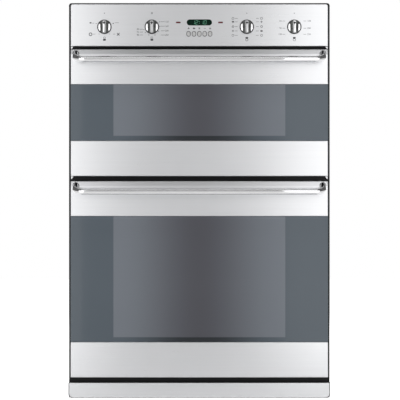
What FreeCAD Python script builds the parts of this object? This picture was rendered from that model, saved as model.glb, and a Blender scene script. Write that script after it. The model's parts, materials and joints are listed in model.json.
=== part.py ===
"""Built-in double electric oven: a small upper oven and a tall lower oven in one casing.

Frame: +Z up, +Y into the housing cabinet, -Y towards the cook.
Origin: bottom of the casing, on the centre line, in the plane of the cabinet's front.
All sizes are in millimetres and live in the spreadsheet "sizes".
"""
import FreeCAD, Part
import Sketcher

import math
import os
import re

SIZES = [
    # the front, from the bottom up
    ("trim_height", 35, "steel strip under the lower door"),
    ("lower_gap", 13.4, "dark gap between the strip and the lower door"),
    ("lower_door_height", 446.6, "lower door"),
    ("middle_gap", 11.4, "dark gap between the doors"),
    ("upper_door_height", 288.6, "upper door"),
    ("upper_gap", 7, "dark gap between the upper door and the panel"),
    ("panel_height", 96, "control panel"),
    ("top_lip", 2, "front frame seen above the panel"),
    ("front_width", 597, "front frame, over its edges"),
    ("trim_width", 598, "steel strip under the lower door"),
    ("trim_depth", 22, "how far that strip stands forward"),
    ("front_sheet", 2, "sheet of the front frame"),
    ("front_round", 7, "rounded upper corners of the front frame"),
    # casing
    ("body_width", 556, "casing, between cabinet sides"),
    ("body_depth", 545, "casing, behind the front frame"),
    ("body_drop", 15, "casing's top below the front's top"),
    ("body_sheet", 1.2, "sheet of the casing"),
    ("vent_pitch", 22, "between air slots of the rear panel"),
    ("vent_width", 8, "air slot"),
    ("vent_height", 50, "air slot"),
    ("vent_drop", 30, "air slots under the casing's top"),
    # doors
    ("door_width", 586, "both doors and the control panel"),
    ("door_thickness", 38, "door, front to back"),
    ("door_sheet", 1.2, "sheet of the door's steel pieces"),
    ("seal_gap", 4, "space between the door and the front frame"),
    ("rail_depth", 10, "folded edge of the door's steel rails"),
    ("upper_rail_height", 80, "steel rail above the glass"),
    ("lower_rail_height", 80.5, "steel rail under the glass"),
    ("outer_glass_sheet", 4, "outer glass"),
    ("inner_glass_sheet", 4, "inner glass"),
    ("window_width", 391, "clear window in the doors"),
    ("window_edge", 11, "window, above and below, inside the outer glass"),
    ("glass_grip", 12, "inner glass held behind the window's edge"),
    ("door_inset", 3, "inner door frame inside the door's outline"),
    # hinges
    ("hinge_height", 13, "hinge pin above the door's lower edge"),
    ("hinge_inset", 18, "hinge pin behind the door's front"),
    ("hinge_margin", 17, "hinge arm inside the casing's side"),
    ("hinge_arm_width", 6, "hinge arm"),
    ("hinge_arm_height", 12, "hinge arm"),
    ("hinge_arm_reach", 45, "hinge arm, behind the front frame"),
    ("hinge_pin_radius", 3, "hinge pin"),
    ("hinge_pin_length", 18, "hinge pin"),
    ("hinge_body_height", 70, "hinge body in the door, above the pin"),
    ("hinge_gap", 2, "space round a hinge arm"),
    # handles
    ("handle_radius", 6.7, "handle tube"),
    ("handle_reach", 38, "handle axis in front of the door"),
    ("handle_margin", 12, "handle's leg inside the door's side"),
    ("handle_bend", 20, "bend between bar and leg"),
    ("handle_drop", 14, "bar lower than the leg's foot"),
    ("handle_foot", 10, "leg's foot below the door's upper edge"),
    # cavities
    ("cavity_width", 440, "both ovens, inside"),
    ("cavity_depth", 410, "both ovens, inside"),
    ("cavity_sheet", 1.5, "enamelled sheet"),
    ("lower_floor", 50, "lower oven's floor above its door's lower edge"),
    ("lower_cavity_height", 340, "lower oven, inside"),
    ("upper_floor", 44, "upper oven's floor above its door's lower edge"),
    ("upper_cavity_height", 195, "upper oven, inside"),
    ("insulation", 22, "mineral wool round the ovens"),
    ("seal_radius", 1.9, "door seal, half its thickness"),
    ("seal_margin", 8, "door seal outside the oven's mouth"),
    # shelf ladders, racks and tray
    ("wire_radius", 2.5, "wire of the shelf ladders and of the racks' edges"),
    ("rung_radius", 1.6, "thin wires of the racks"),
    ("ladder_front", 45, "front upright of a ladder"),
    ("ladder_back", 325, "rear upright of a ladder"),
    ("ladder_overhang", 22, "runner beyond the uprights"),
    ("runner_inset", 6.5, "runner inside the oven's wall"),
    ("runner_pitch", 60, "between two runners"),
    ("runner_first", 45, "lowest runner above the oven's floor"),
    ("rack_inset", 8.7, "rack's edge wire inside the oven's wall"),
    ("rack_front", 24, "rack's front behind the front frame"),
    ("rack_depth", 320, "rack, front to back"),
    ("rack_lift", 5.5, "rack's edge wire above the runner"),
    ("tray_depth", 28, "baking tray, under its rim"),
    ("tray_sheet", 1.5, "baking tray"),
    ("tray_wall_inset", 18, "tray's wall inside the oven's wall"),
    # lamps, sensors and grill
    ("lamp_radius", 22, "oven lamp's glass"),
    ("lamp_depth", 14, "oven lamp's glass, into the oven"),
    ("fitting_inset", 30, "lamp and sensor inside the oven's wall"),
    ("fitting_drop", 48, "lamp and sensor under the oven's ceiling"),
    ("sensor_length", 90, "heat sensor"),
    ("grill_front", 70, "grill element's front bends behind the front frame"),
    ("grill_back", 60, "grill element's rear bends before the oven's rear wall"),
    ("grill_pitch", 56, "between two runs of the grill element"),
    ("grill_drop", 16, "grill element under the oven's ceiling"),
    # fan oven
    ("baffle_space", 40, "room behind the fan cover"),
    ("baffle_width", 250, "fan cover"),
    ("baffle_height", 250, "fan cover"),
    ("cover_hole", 4, "air hole of the fan cover, radius"),
    ("cover_vent", 160, "air slot in the fan cover's side"),
    ("fan_radius", 72, "convection fan"),
    ("fan_depth", 18, "blades of the convection fan"),
    ("shaft_radius", 4, "fan and blower shafts"),
    ("shaft_gap", 0.3, "running clearance"),
    ("ring_radius", 95, "ring element"),
    ("tail_offset", 18, "tails of the ring element, off the centre"),
    ("element_radius", 3.2, "tube of the heating elements"),
    ("motor_radius", 34, "motors"),
    ("motor_length", 48, "motors"),
    # cooling blower
    ("blower_width", 300, "blower housing"),
    ("blower_depth", 110, "blower housing"),
    ("blower_height", 84, "blower housing"),
    ("blower_back", 330, "rear of the blower housing"),
    ("rotor_radius", 28, "blower rotor"),
    ("rotor_length", 280, "blower rotor"),
    # control panel
    ("knob_radius", 16.3, "knobs"),
    ("knob_height", 44, "knob axis above the panel's lower edge"),
    ("knob_pitch", 108, "between the knobs of one oven"),
    ("knob_margin", 34, "outer knobs inside the control box's side"),
    ("knob_skirt", 5, "round skirt of a knob"),
    ("knob_grip_width", 9, "raised grip of a knob"),
    ("knob_grip_depth", 15, "raised grip of a knob"),
    ("knob_gap", 0.6, "space between knob and panel"),
    ("spindle_radius", 3, "switch spindle"),
    ("switch_size", 30, "rotary switch"),
    ("switch_depth", 28, "rotary switch"),
    ("display_height", 54, "display axis above the panel's lower edge"),
    ("display_width", 57, "display window"),
    ("display_tall", 13.5, "display window"),
    ("lamp_offset", 48, "indicator lamps, off the centre"),
    ("lamp_width", 11, "indicator lamp"),
    ("lamp_tall", 3.4, "indicator lamp"),
    ("button_height", 28, "buttons above the panel's lower edge"),
    ("button_pitch", 12.2, "between buttons"),
    ("button_width", 9, "button"),
    ("button_tall", 11.6, "button"),
    ("button_proud", 2.2, "button in front of the panel"),
    ("button_travel", 1.5, "button, pushed in"),
    ("bracket_depth", 10, "switch bracket behind the panel's front"),
    ("box_margin", 28, "control box inside the casing's side and the panel's end"),
    ("box_depth", 90, "control box, behind the front frame"),
    ("box_height", 66, "control box"),
    # supply
    ("terminal_width", 90, "terminal box"),
    ("terminal_depth", 40, "terminal box"),
    ("terminal_height", 60, "terminal box"),
    ("terminal_side", 190, "terminal box, off the centre"),
    ("terminal_level", 120, "terminal box, centre above the base"),
    ("gland_radius", 12, "cable gland"),
    ("gland_bore", 6.5, "cable gland"),
    ("gland_length", 15, "cable gland, behind the rear panel"),
    # cabinet screws
    ("screw_spacing_wide", 577, "fixing holes, side to side"),
    ("screw_low", 150, "lower fixing holes above the base"),
    ("screw_high", 700, "upper fixing holes above the base"),
    ("screw_hole", 2.3, "fixing hole, radius"),
]
SIZE_NAMES = {name for name, value, note in SIZES}

doc = FreeCAD.newDocument("double_oven")
sheet = doc.addObject("Spreadsheet::Sheet", "sizes")
for row, (name, value, note) in enumerate(SIZES, start=1):
    sheet.set(f"A{row}", "'" + note)
    sheet.set(f"B{row}", str(value))
    sheet.setAlias(f"B{row}", name)
doc.recompute()

# places that follow from the sizes
LOWER_DOOR = "(trim_height + lower_gap)"
LOWER_TOP = f"({LOWER_DOOR} + lower_door_height)"
UPPER_DOOR = f"({LOWER_TOP} + middle_gap)"
UPPER_TOP = f"({UPPER_DOOR} + upper_door_height)"
PANEL = f"({UPPER_TOP} + upper_gap)"
FRONT_TOP = f"({PANEL} + panel_height + top_lip)"
DOOR_BACK = "(-front_sheet - seal_gap)"
DOOR_FRONT = f"({DOOR_BACK} - door_thickness)"
HINGE_Y = f"({DOOR_FRONT} + hinge_inset)"
LOWER_FLOOR = f"({LOWER_DOOR} + lower_floor)"
LOWER_CEILING = f"({LOWER_FLOOR} + lower_cavity_height)"
UPPER_FLOOR = f"({UPPER_DOOR} + upper_floor)"
UPPER_CEILING = f"({UPPER_FLOOR} + upper_cavity_height)"
CASE = "(body_width / 2)"
BODY_TOP = f"({FRONT_TOP} - body_drop)"
ROOF = f"({BODY_TOP} - body_sheet)"
HINGES = ("-(body_width / 2 - hinge_margin)", "(body_width / 2 - hinge_margin)")
BRACKET = f"({DOOR_FRONT} + bracket_depth)"

OVENS = (("upper", UPPER_FLOOR, UPPER_CEILING), ("lower", LOWER_FLOOR, LOWER_CEILING))
GRILL_RUNS = 6
FAN_BLADES = 12
DRUM_BLADES = 18
REAR_VENTS = 8
RACK_RUNGS = 15
COVER_RINGS = ((14, 6), (32, 12), (50, 18))  # radius of a ring of holes and how many it has

nodes = {}


# ---------------------------------------------------------------- helpers

def formula(text):
    """Point every size name in a formula at the spreadsheet."""
    def refer(word):
        return f"sizes.{word.group()}" if word.group() in SIZE_NAMES else word.group()
    return re.sub(r"[a-z_]+[a-z]", refer, str(text))


def bind(thing, prop, text):
    """Bind a property to a formula of size names."""
    thing.setExpression(prop, formula(text))


def value(text):
    """Return a formula's present value."""
    return float(sheet.evalExpression(formula(text)))


def put(thing, x="0", y="0", z="0"):
    """Bind a piece's place."""
    for axis, text in (("x", x), ("y", y), ("z", z)):
        bind(thing, f"Placement.Base.{axis}", text)
    return thing


def keep(node, thing):
    """Name a finished sub-part after its node."""
    thing.Label = node
    nodes[node] = thing
    return thing


def around(half):
    """Return the range from minus to plus half a width."""
    return f"-({half})", half


def box(name, x, y, z):
    """Add a block between two formulas along each axis."""
    block = doc.addObject("Part::Box", name)
    for side, (low, high) in (("Length", x), ("Width", y), ("Height", z)):
        bind(block, side, f"({high}) - ({low})")
    return put(block, x[0], y[0], z[0])


TURNS = {
    "x": FreeCAD.Rotation(FreeCAD.Vector(0, 1, 0), 90),
    "y": FreeCAD.Rotation(FreeCAD.Vector(1, 0, 0), -90),
    "z": FreeCAD.Rotation(),
}


def rod(name, along, radius, length, x, y, z):
    """Add a round bar that starts at a place and runs along a positive axis."""
    bar = doc.addObject("Part::Cylinder", name)
    bind(bar, "Radius", radius)
    bind(bar, "Height", length)
    bar.Placement = FreeCAD.Placement(FreeCAD.Vector(), TURNS[along])
    return put(bar, x, y, z)


def fuse(name, shapes):
    """Join shapes into one solid."""
    if len(shapes) == 1:
        return shapes[0]
    joined = doc.addObject("Part::MultiFuse", name)
    joined.Shapes = shapes
    joined.Refine = True
    return joined


def cut(name, base, tools):
    """Take tools away from a base."""
    rest = doc.addObject("Part::Cut", name)
    rest.Base = base
    rest.Tool = fuse(name + "_tools", tools)
    rest.Refine = True
    return rest


def group(name, shapes):
    """Hold like pieces as one group of separate solids."""
    together = doc.addObject("Part::Compound", name)
    together.Links = shapes
    return together


def stadium(name, width, height, y, x, z, grow="0"):
    """Add a bar along Y with a round-ended section that is as wide and tall as stated."""
    wide, tall = f"({width} + 2 * {grow})", f"({height} + 2 * {grow})"
    depth = f"({y[1]}) - ({y[0]})"
    if value(wide) > value(tall):
        radius, reach = f"{tall} / 2", f"({wide} - {tall}) / 2"
        ends = [(f"{x} - {reach}", z), (f"{x} + {reach}", z)]
        middle = (f"{x} - {reach}", f"{x} + {reach}"), (f"{z} - {radius}", f"{z} + {radius}")
    else:
        radius, reach = f"{wide} / 2", f"({tall} - {wide}) / 2"
        ends = [(x, f"{z} - {reach}"), (x, f"{z} + {reach}")]
        middle = (f"{x} - {radius}", f"{x} + {radius}"), (f"{z} - {reach}", f"{z} + {reach}")
    parts = [box(name + "_middle", middle[0], y, middle[1])]
    for at, (end_x, end_z) in enumerate(ends):
        parts.append(rod(f"{name}_end{at}", "y", radius, depth, end_x, y[0], end_z))
    return fuse(name, parts)


def plane_of(body, role):
    """Return one of a body's own origin planes."""
    return next(part for part in body.Origin.OriginFeatures if part.Role == role)


def sketch_on(body, role, offset="0"):
    """Start a sketch on an origin plane of the body."""
    sketch = body.newObject("Sketcher::SketchObject", body.Name + "_sketch")
    sketch.AttachmentSupport = (plane_of(body, role), [""])
    sketch.MapMode = "FlatFace"
    bind(sketch, "AttachmentOffset.Base.z", offset)
    return sketch


def hold(sketch, kind, geometry, point, text):
    """Tie a sketch point to the sketch's origin."""
    at = sketch.addConstraint(Sketcher.Constraint(kind, -1, 1, geometry, point, value(text)))
    bind(sketch, f"Constraints[{at}]", text)


def draw_rectangle(sketch, across, up):
    """Draw a rectangle between two formulas each way."""
    x = [value(text) for text in across]
    y = [value(text) for text in up]
    corners = [FreeCAD.Vector(*at, 0) for at in ((x[0], y[0]), (x[1], y[0]), (x[1], y[1]), (x[0], y[1]))]
    lines = [sketch.addGeometry(Part.LineSegment(corners[at], corners[(at + 1) % 4])) for at in range(4)]
    for at in range(4):
        sketch.addConstraint(Sketcher.Constraint("Coincident", lines[at], 2, lines[(at + 1) % 4], 1))
        sketch.addConstraint(Sketcher.Constraint("Vertical" if at % 2 else "Horizontal", lines[at]))
    hold(sketch, "DistanceX", lines[0], 1, across[0])
    hold(sketch, "DistanceY", lines[0], 1, up[0])
    hold(sketch, "DistanceX", lines[2], 1, across[1])
    hold(sketch, "DistanceY", lines[2], 1, up[1])


def draw_circle(sketch, x, y, radius):
    """Draw a circle with a bound centre and radius."""
    centre = FreeCAD.Vector(value(x), value(y), 0)
    ring = sketch.addGeometry(Part.Circle(centre, FreeCAD.Vector(0, 0, 1), value(radius)))
    hold(sketch, "DistanceX", ring, 3, x)
    hold(sketch, "DistanceY", ring, 3, y)
    at = sketch.addConstraint(Sketcher.Constraint("Radius", ring, value(radius)))
    bind(sketch, f"Constraints[{at}]", radius)


def feature(body, kind, sketch, length, reverse=False):
    """Add a pad or a pocket of a stated length from a sketch."""
    made = body.newObject(f"PartDesign::{kind}", f"{body.Name}_{kind.lower()}")
    made.Profile = sketch
    bind(made, "Length", length)
    made.Reversed = reverse
    body.Tip = made
    return made


def round_edges(body, base, chosen, radius):
    """Round the edges of a feature that a test picks."""
    doc.recompute()
    names = [f"Edge{at}" for at, edge in enumerate(base.Shape.Edges, start=1) if chosen(edge)]
    rounded = body.newObject("PartDesign::Fillet", body.Name + "_round")
    rounded.Base = (base, names)
    bind(rounded, "Radius", radius)
    body.Tip = rounded
    return rounded


# ---------------------------------------------------------------- casing

def tray(name, x, y, z, wall, open_side):
    """Add a sheet box that is open on one side."""
    inner = {"x": [f"{x[0]} + {wall}", f"{x[1]} - {wall}"],
             "y": [f"{y[0]} + {wall}", f"{y[1]} - {wall}"],
             "z": [f"{z[0]} + {wall}", f"{z[1]} - {wall}"]}
    axis, end = open_side[1], 0 if open_side[0] == "-" else 1
    inner[axis][end] = f"{ {'x': x, 'y': y, 'z': z}[axis][end]} {'+' if end else '-'} 1"
    return cut(name, box(name + "_outer", x, y, z), [box(name + "_inner", *map(tuple, inner.values()))])


def make_casing():
    """Make the sheet panels behind the front frame."""
    inner = f"({CASE} - body_sheet)"
    behind = ("0", "body_depth")
    keep("base_panel", box("base", around(inner), behind, ("0", "body_sheet")))
    for side, sign in (("left", "-"), ("right", "")):
        x = (f"-{CASE}", f"-{inner}") if sign else (inner, CASE)
        keep(f"side_panel_{side}", box(f"side_{side}", x, behind, ("0", BODY_TOP)))
    between = ("body_sheet", ROOF)
    rear = box("rear", around(inner), ("body_depth - body_sheet", "body_depth"), between)
    gland = rod("rear_gland_hole", "y", "gland_radius", "body_sheet * 4",
                "terminal_side", "body_depth - body_sheet * 2", "terminal_level")
    keep("rear_panel", cut("rear_cut", rear, [gland] + vent_slots("rear_vent")))
    top = box("top", around(inner), behind, (ROOF, BODY_TOP))
    keep("top_panel", top)
    middle = f"({LOWER_TOP} + middle_gap / 2)"
    keep("divider_plate", box("divider", around(inner), ("0", "body_depth - body_sheet"),
                              (middle, f"{middle} + body_sheet")))


def vent_slots(name):
    """Return cutters for a row of upright air slots near the top of the rear panel."""
    slots = []
    for at in range(REAR_VENTS):
        x = f"({at - (REAR_VENTS - 1) / 2} * vent_pitch)"
        slots.append(box(f"{name}{at}", (f"{x} - vent_width / 2", f"{x} + vent_width / 2"),
                         ("body_depth - 2 * body_sheet", "body_depth + body_sheet"),
                         (f"{BODY_TOP} - vent_drop - vent_height", f"{BODY_TOP} - vent_drop")))
    return slots


def is_top_corner(edge):
    """Tell an upper corner edge of the front frame, which runs front to back."""
    ends = [vertex.Point for vertex in edge.Vertexes]
    level = all(abs(end.z - value(FRONT_TOP)) < 0.01 for end in ends)
    return len(ends) == 2 and level and abs(ends[0].x - ends[1].x) < 0.01


def make_front_frame():
    """Make the enamelled sheet that lies on the cabinet's front."""
    body = doc.addObject("PartDesign::Body", "frame")
    outline = sketch_on(body, "XZ_Plane")
    draw_rectangle(outline, around("front_width / 2"), ("0", FRONT_TOP))
    pad = feature(body, "Pad", outline, "front_sheet")
    round_edges(body, pad, is_top_corner, "front_round")
    mouths = sketch_on(body, "XZ_Plane")
    draw_rectangle(mouths, around("cavity_width / 2"), (LOWER_FLOOR, LOWER_CEILING))
    draw_rectangle(mouths, around("cavity_width / 2"), (UPPER_FLOOR, UPPER_CEILING))
    draw_rectangle(mouths, around(BOX_SIDE), (BOX_LOW, BOX_HIGH))
    for x in ("-screw_spacing_wide / 2", "screw_spacing_wide / 2"):
        for z in ("screw_low", "screw_high"):
            draw_circle(mouths, x, z, "screw_hole")
    for door in (LOWER_DOOR, UPPER_DOOR):
        pivot = f"({door} + hinge_height)"
        for x in HINGES:
            side = "hinge_arm_width / 2 + hinge_gap"
            draw_rectangle(mouths, (f"{x} - ({side})", f"{x} + {side}"),
                           (f"{pivot} - hinge_arm_height / 2", f"{pivot} + hinge_arm_height / 2"))
    feature(body, "Pocket", mouths, "front_sheet", reverse=True)
    keep("front_frame", body)
    keep("bottom_trim", tray("trim", around("trim_width / 2"), ("-front_sheet - trim_depth", "-front_sheet"),
                             ("0", "trim_height"), "door_sheet", "+y"))


# ---------------------------------------------------------------- ovens

def ring_frame(name, across, y, up, width):
    """Add a rectangular ring round a mouth."""
    outer = box(name + "_outer", (f"-({across} + {width})", f"{across} + {width}"), y,
                (f"{up[0]} - {width}", f"{up[1]} + {width}"))
    return cut(name, outer, [box(name + "_hole", around(across), (f"{y[0]} - 1", f"{y[1]} + 1"), up)])


def make_cavity(oven, floor, ceiling, fan):
    """Make one enamelled oven with its seal, ladders and rear fittings."""
    half = "(cavity_width / 2)"
    grow = "cavity_sheet"
    outer = box(f"{oven}_shell", around(f"{half} + {grow}"), ("0", f"cavity_depth + {grow}"),
                (f"{floor} - {grow}", f"{ceiling} + {grow}"))
    room = box(f"{oven}_room", around(half), ("-1", "cavity_depth"), (floor, ceiling))
    tools = [room]
    if fan:
        tools.append(rod(f"{oven}_shaft_hole", "y", "shaft_radius + 2", "20", "0", "cavity_depth - 10",
                         FAN_AXIS))
    keep(f"{oven}_cavity", cut(f"{oven}_liner", outer, tools))
    margin = f"({half} + seal_margin)"
    seal_y = ("-front_sheet - 2 * seal_radius", "-front_sheet")
    seal_z = (f"{floor} - seal_margin", f"{ceiling} + seal_margin")
    keep(f"{oven}_door_seal", ring_frame(f"{oven}_seal", margin, seal_y, seal_z, "2 * seal_radius"))


def blanket(name, floor, ceiling, fan):
    """Make the mineral wool round one oven, open at the front."""
    inner = "(cavity_width / 2 + cavity_sheet)"
    low, high = f"({floor} - cavity_sheet)", f"({ceiling} + cavity_sheet)"
    back = "(cavity_depth + cavity_sheet)"
    outer = box(name + "_outer", around(f"{inner} + insulation"), ("0", f"{back} + insulation"),
                (f"{low} - insulation", f"{high} + insulation"))
    tools = [box(name + "_room", around(inner), ("-1", back), (low, high))]
    if fan:
        tools.append(rod(name + "_hole", "y", "shaft_radius + 4", "60", "0", "cavity_depth - 10", FAN_AXIS))
    return cut(name, outer, tools)


def runner_level(floor, step):
    """Return the height of a ladder's runner."""
    return f"({floor} + runner_first + {step} * runner_pitch)"


def ladder(name, side, floor, steps):
    """Make one welded wire ladder that hangs on an oven's side wall."""
    wall = f"{side} * (cavity_width / 2 - wire_radius)"
    runner = f"{side} * (cavity_width / 2 - runner_inset)"
    low, high = runner_level(floor, -0.5), runner_level(floor, steps - 0.5)
    wires = [rod(f"{name}_post{at}", "z", "wire_radius", f"{high} - {low}", wall, y, low)
             for at, y in enumerate(("ladder_front", "ladder_back"))]
    for step in range(steps):
        wires.append(rod(f"{name}_runner{step}", "y", "wire_radius",
                         "ladder_back - ladder_front + 2 * ladder_overhang", runner,
                         "ladder_front - ladder_overhang", runner_level(floor, step)))
    return fuse(name, wires)


def rack(name, floor, step):
    """Make one wire rack: a frame of thick wire with thin rungs welded on it."""
    level = f"({runner_level(floor, step)} + rack_lift)"
    half = "(cavity_width / 2 - rack_inset)"
    front, back = "rack_front", "(rack_front + rack_depth)"
    wires = []
    for at, side in enumerate((-1, 1)):
        wires.append(rod(f"{name}_edge{at}", "y", "wire_radius", f"{back} - {front}",
                         f"{side} * {half}", front, level))
    for at, y in enumerate((front, back)):
        wires.append(rod(f"{name}_cross{at}", "x", "wire_radius", f"2 * {half}", f"-{half}", y, level))
        for side in (-1, 1):
            ball = doc.addObject("Part::Sphere", f"{name}_corner")
            bind(ball, "Radius", "wire_radius")
            wires.append(put(ball, f"{side} * {half}", y, level))
    lift = f"({level} + wire_radius)"
    for at in range(RACK_RUNGS):
        x = f"({half} * {round(2 * (at + 1) / (RACK_RUNGS + 1) - 1, 4)})"
        wires.append(rod(f"{name}_rung{at}", "y", "rung_radius", f"{back} - {front}", x, front, lift))
    return fuse(name, wires)


def make_racks():
    """Make the ladders, both racks and the baking tray."""
    ladders = []
    for oven, floor, steps in (("upper", UPPER_FLOOR, 2), ("lower", LOWER_FLOOR, 4)):
        for side in (-1, 1):
            ladders.append(ladder(f"{oven}_ladder{'L' if side < 0 else 'R'}", side, floor, steps))
    keep("shelf_ladders", group("ladders", ladders))
    keep("upper_rack", rack("rack_u", UPPER_FLOOR, 0))
    keep("lower_rack", rack("rack_l", LOWER_FLOOR, 3))
    level = f"({runner_level(LOWER_FLOOR, 1)} + wire_radius + 0.3)"
    wall = "(cavity_width / 2 - tray_wall_inset)"
    reach = ("rack_front", "rack_front + rack_depth")
    pan = box("tray_pan", around(wall), ("rack_front + 6", "rack_front + rack_depth - 6"),
              (f"{level} - tray_depth", level))
    rim = box("tray_rim", around("cavity_width / 2 - runner_inset"), reach, (level, f"{level} + tray_sheet"))
    hollow = box("tray_hollow", around(f"{wall} - tray_sheet"),
                 ("rack_front + 6 + tray_sheet", "rack_front + rack_depth - 6 - tray_sheet"),
                 (f"{level} - tray_depth + tray_sheet", f"{level} + 10"))
    keep("baking_tray", cut("tray_cut", fuse("tray_sum", [pan, rim]), [hollow]))


FAN_AXIS = f"({LOWER_FLOOR} + lower_cavity_height / 2)"
BOX_SIDE = "(min(body_width; door_width) / 2 - box_margin)"
BOX_LOW = f"({PANEL} + 12)"
BOX_HIGH = f"({BOX_LOW} + box_height)"


def make_ovens():
    """Make both ovens, their wool, grill, fan cover, lamps and sensors."""
    make_cavity("upper", UPPER_FLOOR, UPPER_CEILING, False)
    make_cavity("lower", LOWER_FLOOR, LOWER_CEILING, True)
    keep("insulation", group("wool", [blanket("wool_upper", UPPER_FLOOR, UPPER_CEILING, False),
                                      blanket("wool_lower", LOWER_FLOOR, LOWER_CEILING, True)]))
    keep("grill_element", grill())
    lamps, sensors = [], []
    for oven, floor, ceiling in OVENS:
        high = f"({ceiling} - fitting_drop)"
        lamps.append(rod(f"{oven}_lamp", "y", "lamp_radius", "lamp_depth",
                         "-cavity_width / 2 + fitting_inset", "cavity_depth - lamp_depth", high))
        sensors.append(rod(f"{oven}_sensor", "y", "wire_radius", "sensor_length",
                           "cavity_width / 2 - fitting_inset", "cavity_depth - sensor_length", high))
    keep("oven_lamps", group("lamps", lamps))
    keep("heat_sensors", group("sensors", sensors))


def half_ring(name, radius, x, y, z, start):
    """Add a half-round bend of element tube that lies flat."""
    bend = doc.addObject("Part::Torus", name)
    bind(bend, "Radius1", radius)
    bind(bend, "Radius2", "element_radius")
    bend.Angle3 = 180
    bend.Placement = FreeCAD.Placement(FreeCAD.Vector(), FreeCAD.Rotation(FreeCAD.Vector(0, 0, 1), start))
    return put(bend, x, y, z)


def grill():
    """Make the grill element: one tube laid in loops under the upper oven's ceiling."""
    back, rear_bend = "cavity_depth", "(cavity_depth - grill_back)"
    level = f"({UPPER_CEILING} - grill_drop)"
    tube = []
    for at in range(GRILL_RUNS):
        x = f"({at - (GRILL_RUNS - 1) / 2} * grill_pitch)"
        last = back if at in (0, GRILL_RUNS - 1) else rear_bend
        tube.append(rod(f"grill_run{at}", "y", "element_radius", f"{last} - grill_front",
                        x, "grill_front", level))
        if at < GRILL_RUNS - 1:
            y, start = (rear_bend, 0) if at % 2 else ("grill_front", 180)
            tube.append(half_ring(f"grill_bend{at}", "grill_pitch / 2", f"{x} + grill_pitch / 2",
                                  y, level, start))
    return fuse("grill_tube", tube)


# ---------------------------------------------------------------- fans

def rotor_blades(body, role, offset, low, high, half, length, count, axis):
    """Add a polar row of blades to a rotor body."""
    blade = sketch_on(body, role, offset)
    draw_rectangle(blade, around(half), (low, high))
    pad = feature(body, "Pad", blade, length)
    doc.recompute()
    row = body.newObject("PartDesign::PolarPattern", body.Name + "_blades")
    row.Originals = [pad]
    row.Axis = (next(part for part in body.Origin.OriginFeatures if part.Role == axis), [""])
    row.Angle = 360
    row.Occurrences = count
    body.Tip = row


def make_convection_fan():
    """Make the fan cover, the impeller on its shaft, the ring element and the motor."""
    half_w, half_h = "(baffle_width / 2)", "(baffle_height / 2)"
    front = "(cavity_depth - baffle_space)"
    cover = tray("cover", around(half_w), (front, "cavity_depth"),
                 (f"{FAN_AXIS} - {half_h}", f"{FAN_AXIS} + {half_h}"), "cavity_sheet", "+y")
    holes = []
    for ring, (radius, count) in enumerate(COVER_RINGS):
        for at in range(count):
            turn = 2 * math.pi * at / count
            x, rise = round(radius * math.cos(turn), 3), round(radius * math.sin(turn), 3)
            holes.append(rod(f"cover_hole{ring}_{at}", "y", "cover_hole", "4 * cavity_sheet",
                             str(x), f"{front} - cavity_sheet", f"{FAN_AXIS} + {rise}"))
    vents = [box(f"cover_vent{side}", (f"{side} * {half_w} - 5", f"{side} * {half_w} + 5"),
                 (f"{front} + 12", f"{front} + 28"),
                 (f"{FAN_AXIS} - cover_vent / 2", f"{FAN_AXIS} + cover_vent / 2")) for side in (-1, 1)]
    keep("fan_cover", cut("cover_cut", cover, holes + vents))

    body = doc.addObject("PartDesign::Body", "impeller")
    disc = sketch_on(body, "XZ_Plane")
    draw_circle(disc, "0", "0", "fan_radius")
    feature(body, "Pad", disc, "cavity_sheet")
    hub = sketch_on(body, "XZ_Plane")
    draw_circle(hub, "0", "0", "shaft_radius * 3")
    feature(body, "Pad", hub, "fan_depth")
    rotor_blades(body, "XZ_Plane", "0", "fan_radius / 2", "fan_radius - 2", "cavity_sheet / 2",
                 "fan_depth", FAN_BLADES, "Y_Axis")
    shaft = sketch_on(body, "XZ_Plane")
    draw_circle(shaft, "0", "0", "shaft_radius")
    feature(body, "Pad", shaft, "insulation + cavity_sheet + 24", reverse=True)
    keep("convection_fan", put(body, "0", "cavity_depth - 10", FAN_AXIS))

    level = "(cavity_depth - baffle_space / 2)"
    ring = doc.addObject("Part::Torus", "ring_tube")
    bind(ring, "Radius1", "ring_radius")
    bind(ring, "Radius2", "element_radius")
    bind(ring, "Angle3", "360 deg - 2 * asin(tail_offset / ring_radius)")
    start = 90 + math.degrees(math.asin(value("tail_offset") / value("ring_radius")))
    turned = TURNS["y"] * FreeCAD.Rotation(FreeCAD.Vector(0, 0, 1), start)
    ring.Placement = FreeCAD.Placement(FreeCAD.Vector(), turned)
    put(ring, "0", level, FAN_AXIS)
    tails = []
    for side in (-1, 1):
        foot = f"{FAN_AXIS} - sqrt(ring_radius ^ 2 - tail_offset ^ 2)"
        elbow = doc.addObject("Part::Sphere", "ring_elbow")
        bind(elbow, "Radius", "element_radius")
        tails.append(put(elbow, f"{side} * tail_offset", level, foot))
        tails.append(rod(f"ring_tail{side}", "y", "element_radius", f"cavity_depth - {level}",
                         f"{side} * tail_offset", level, foot))
    keep("ring_element", fuse("ring_sum", [ring] + tails))

    start = "(cavity_depth + cavity_sheet + insulation)"
    motor = rod("fan_motor_case", "y", "motor_radius", "motor_length", "0", start, FAN_AXIS)
    bore = rod("fan_motor_bore", "y", "shaft_radius + shaft_gap", "20", "0", f"{start} - 1", FAN_AXIS)
    keep("fan_motor", cut("fan_motor_cut", motor, [bore]))


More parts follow.
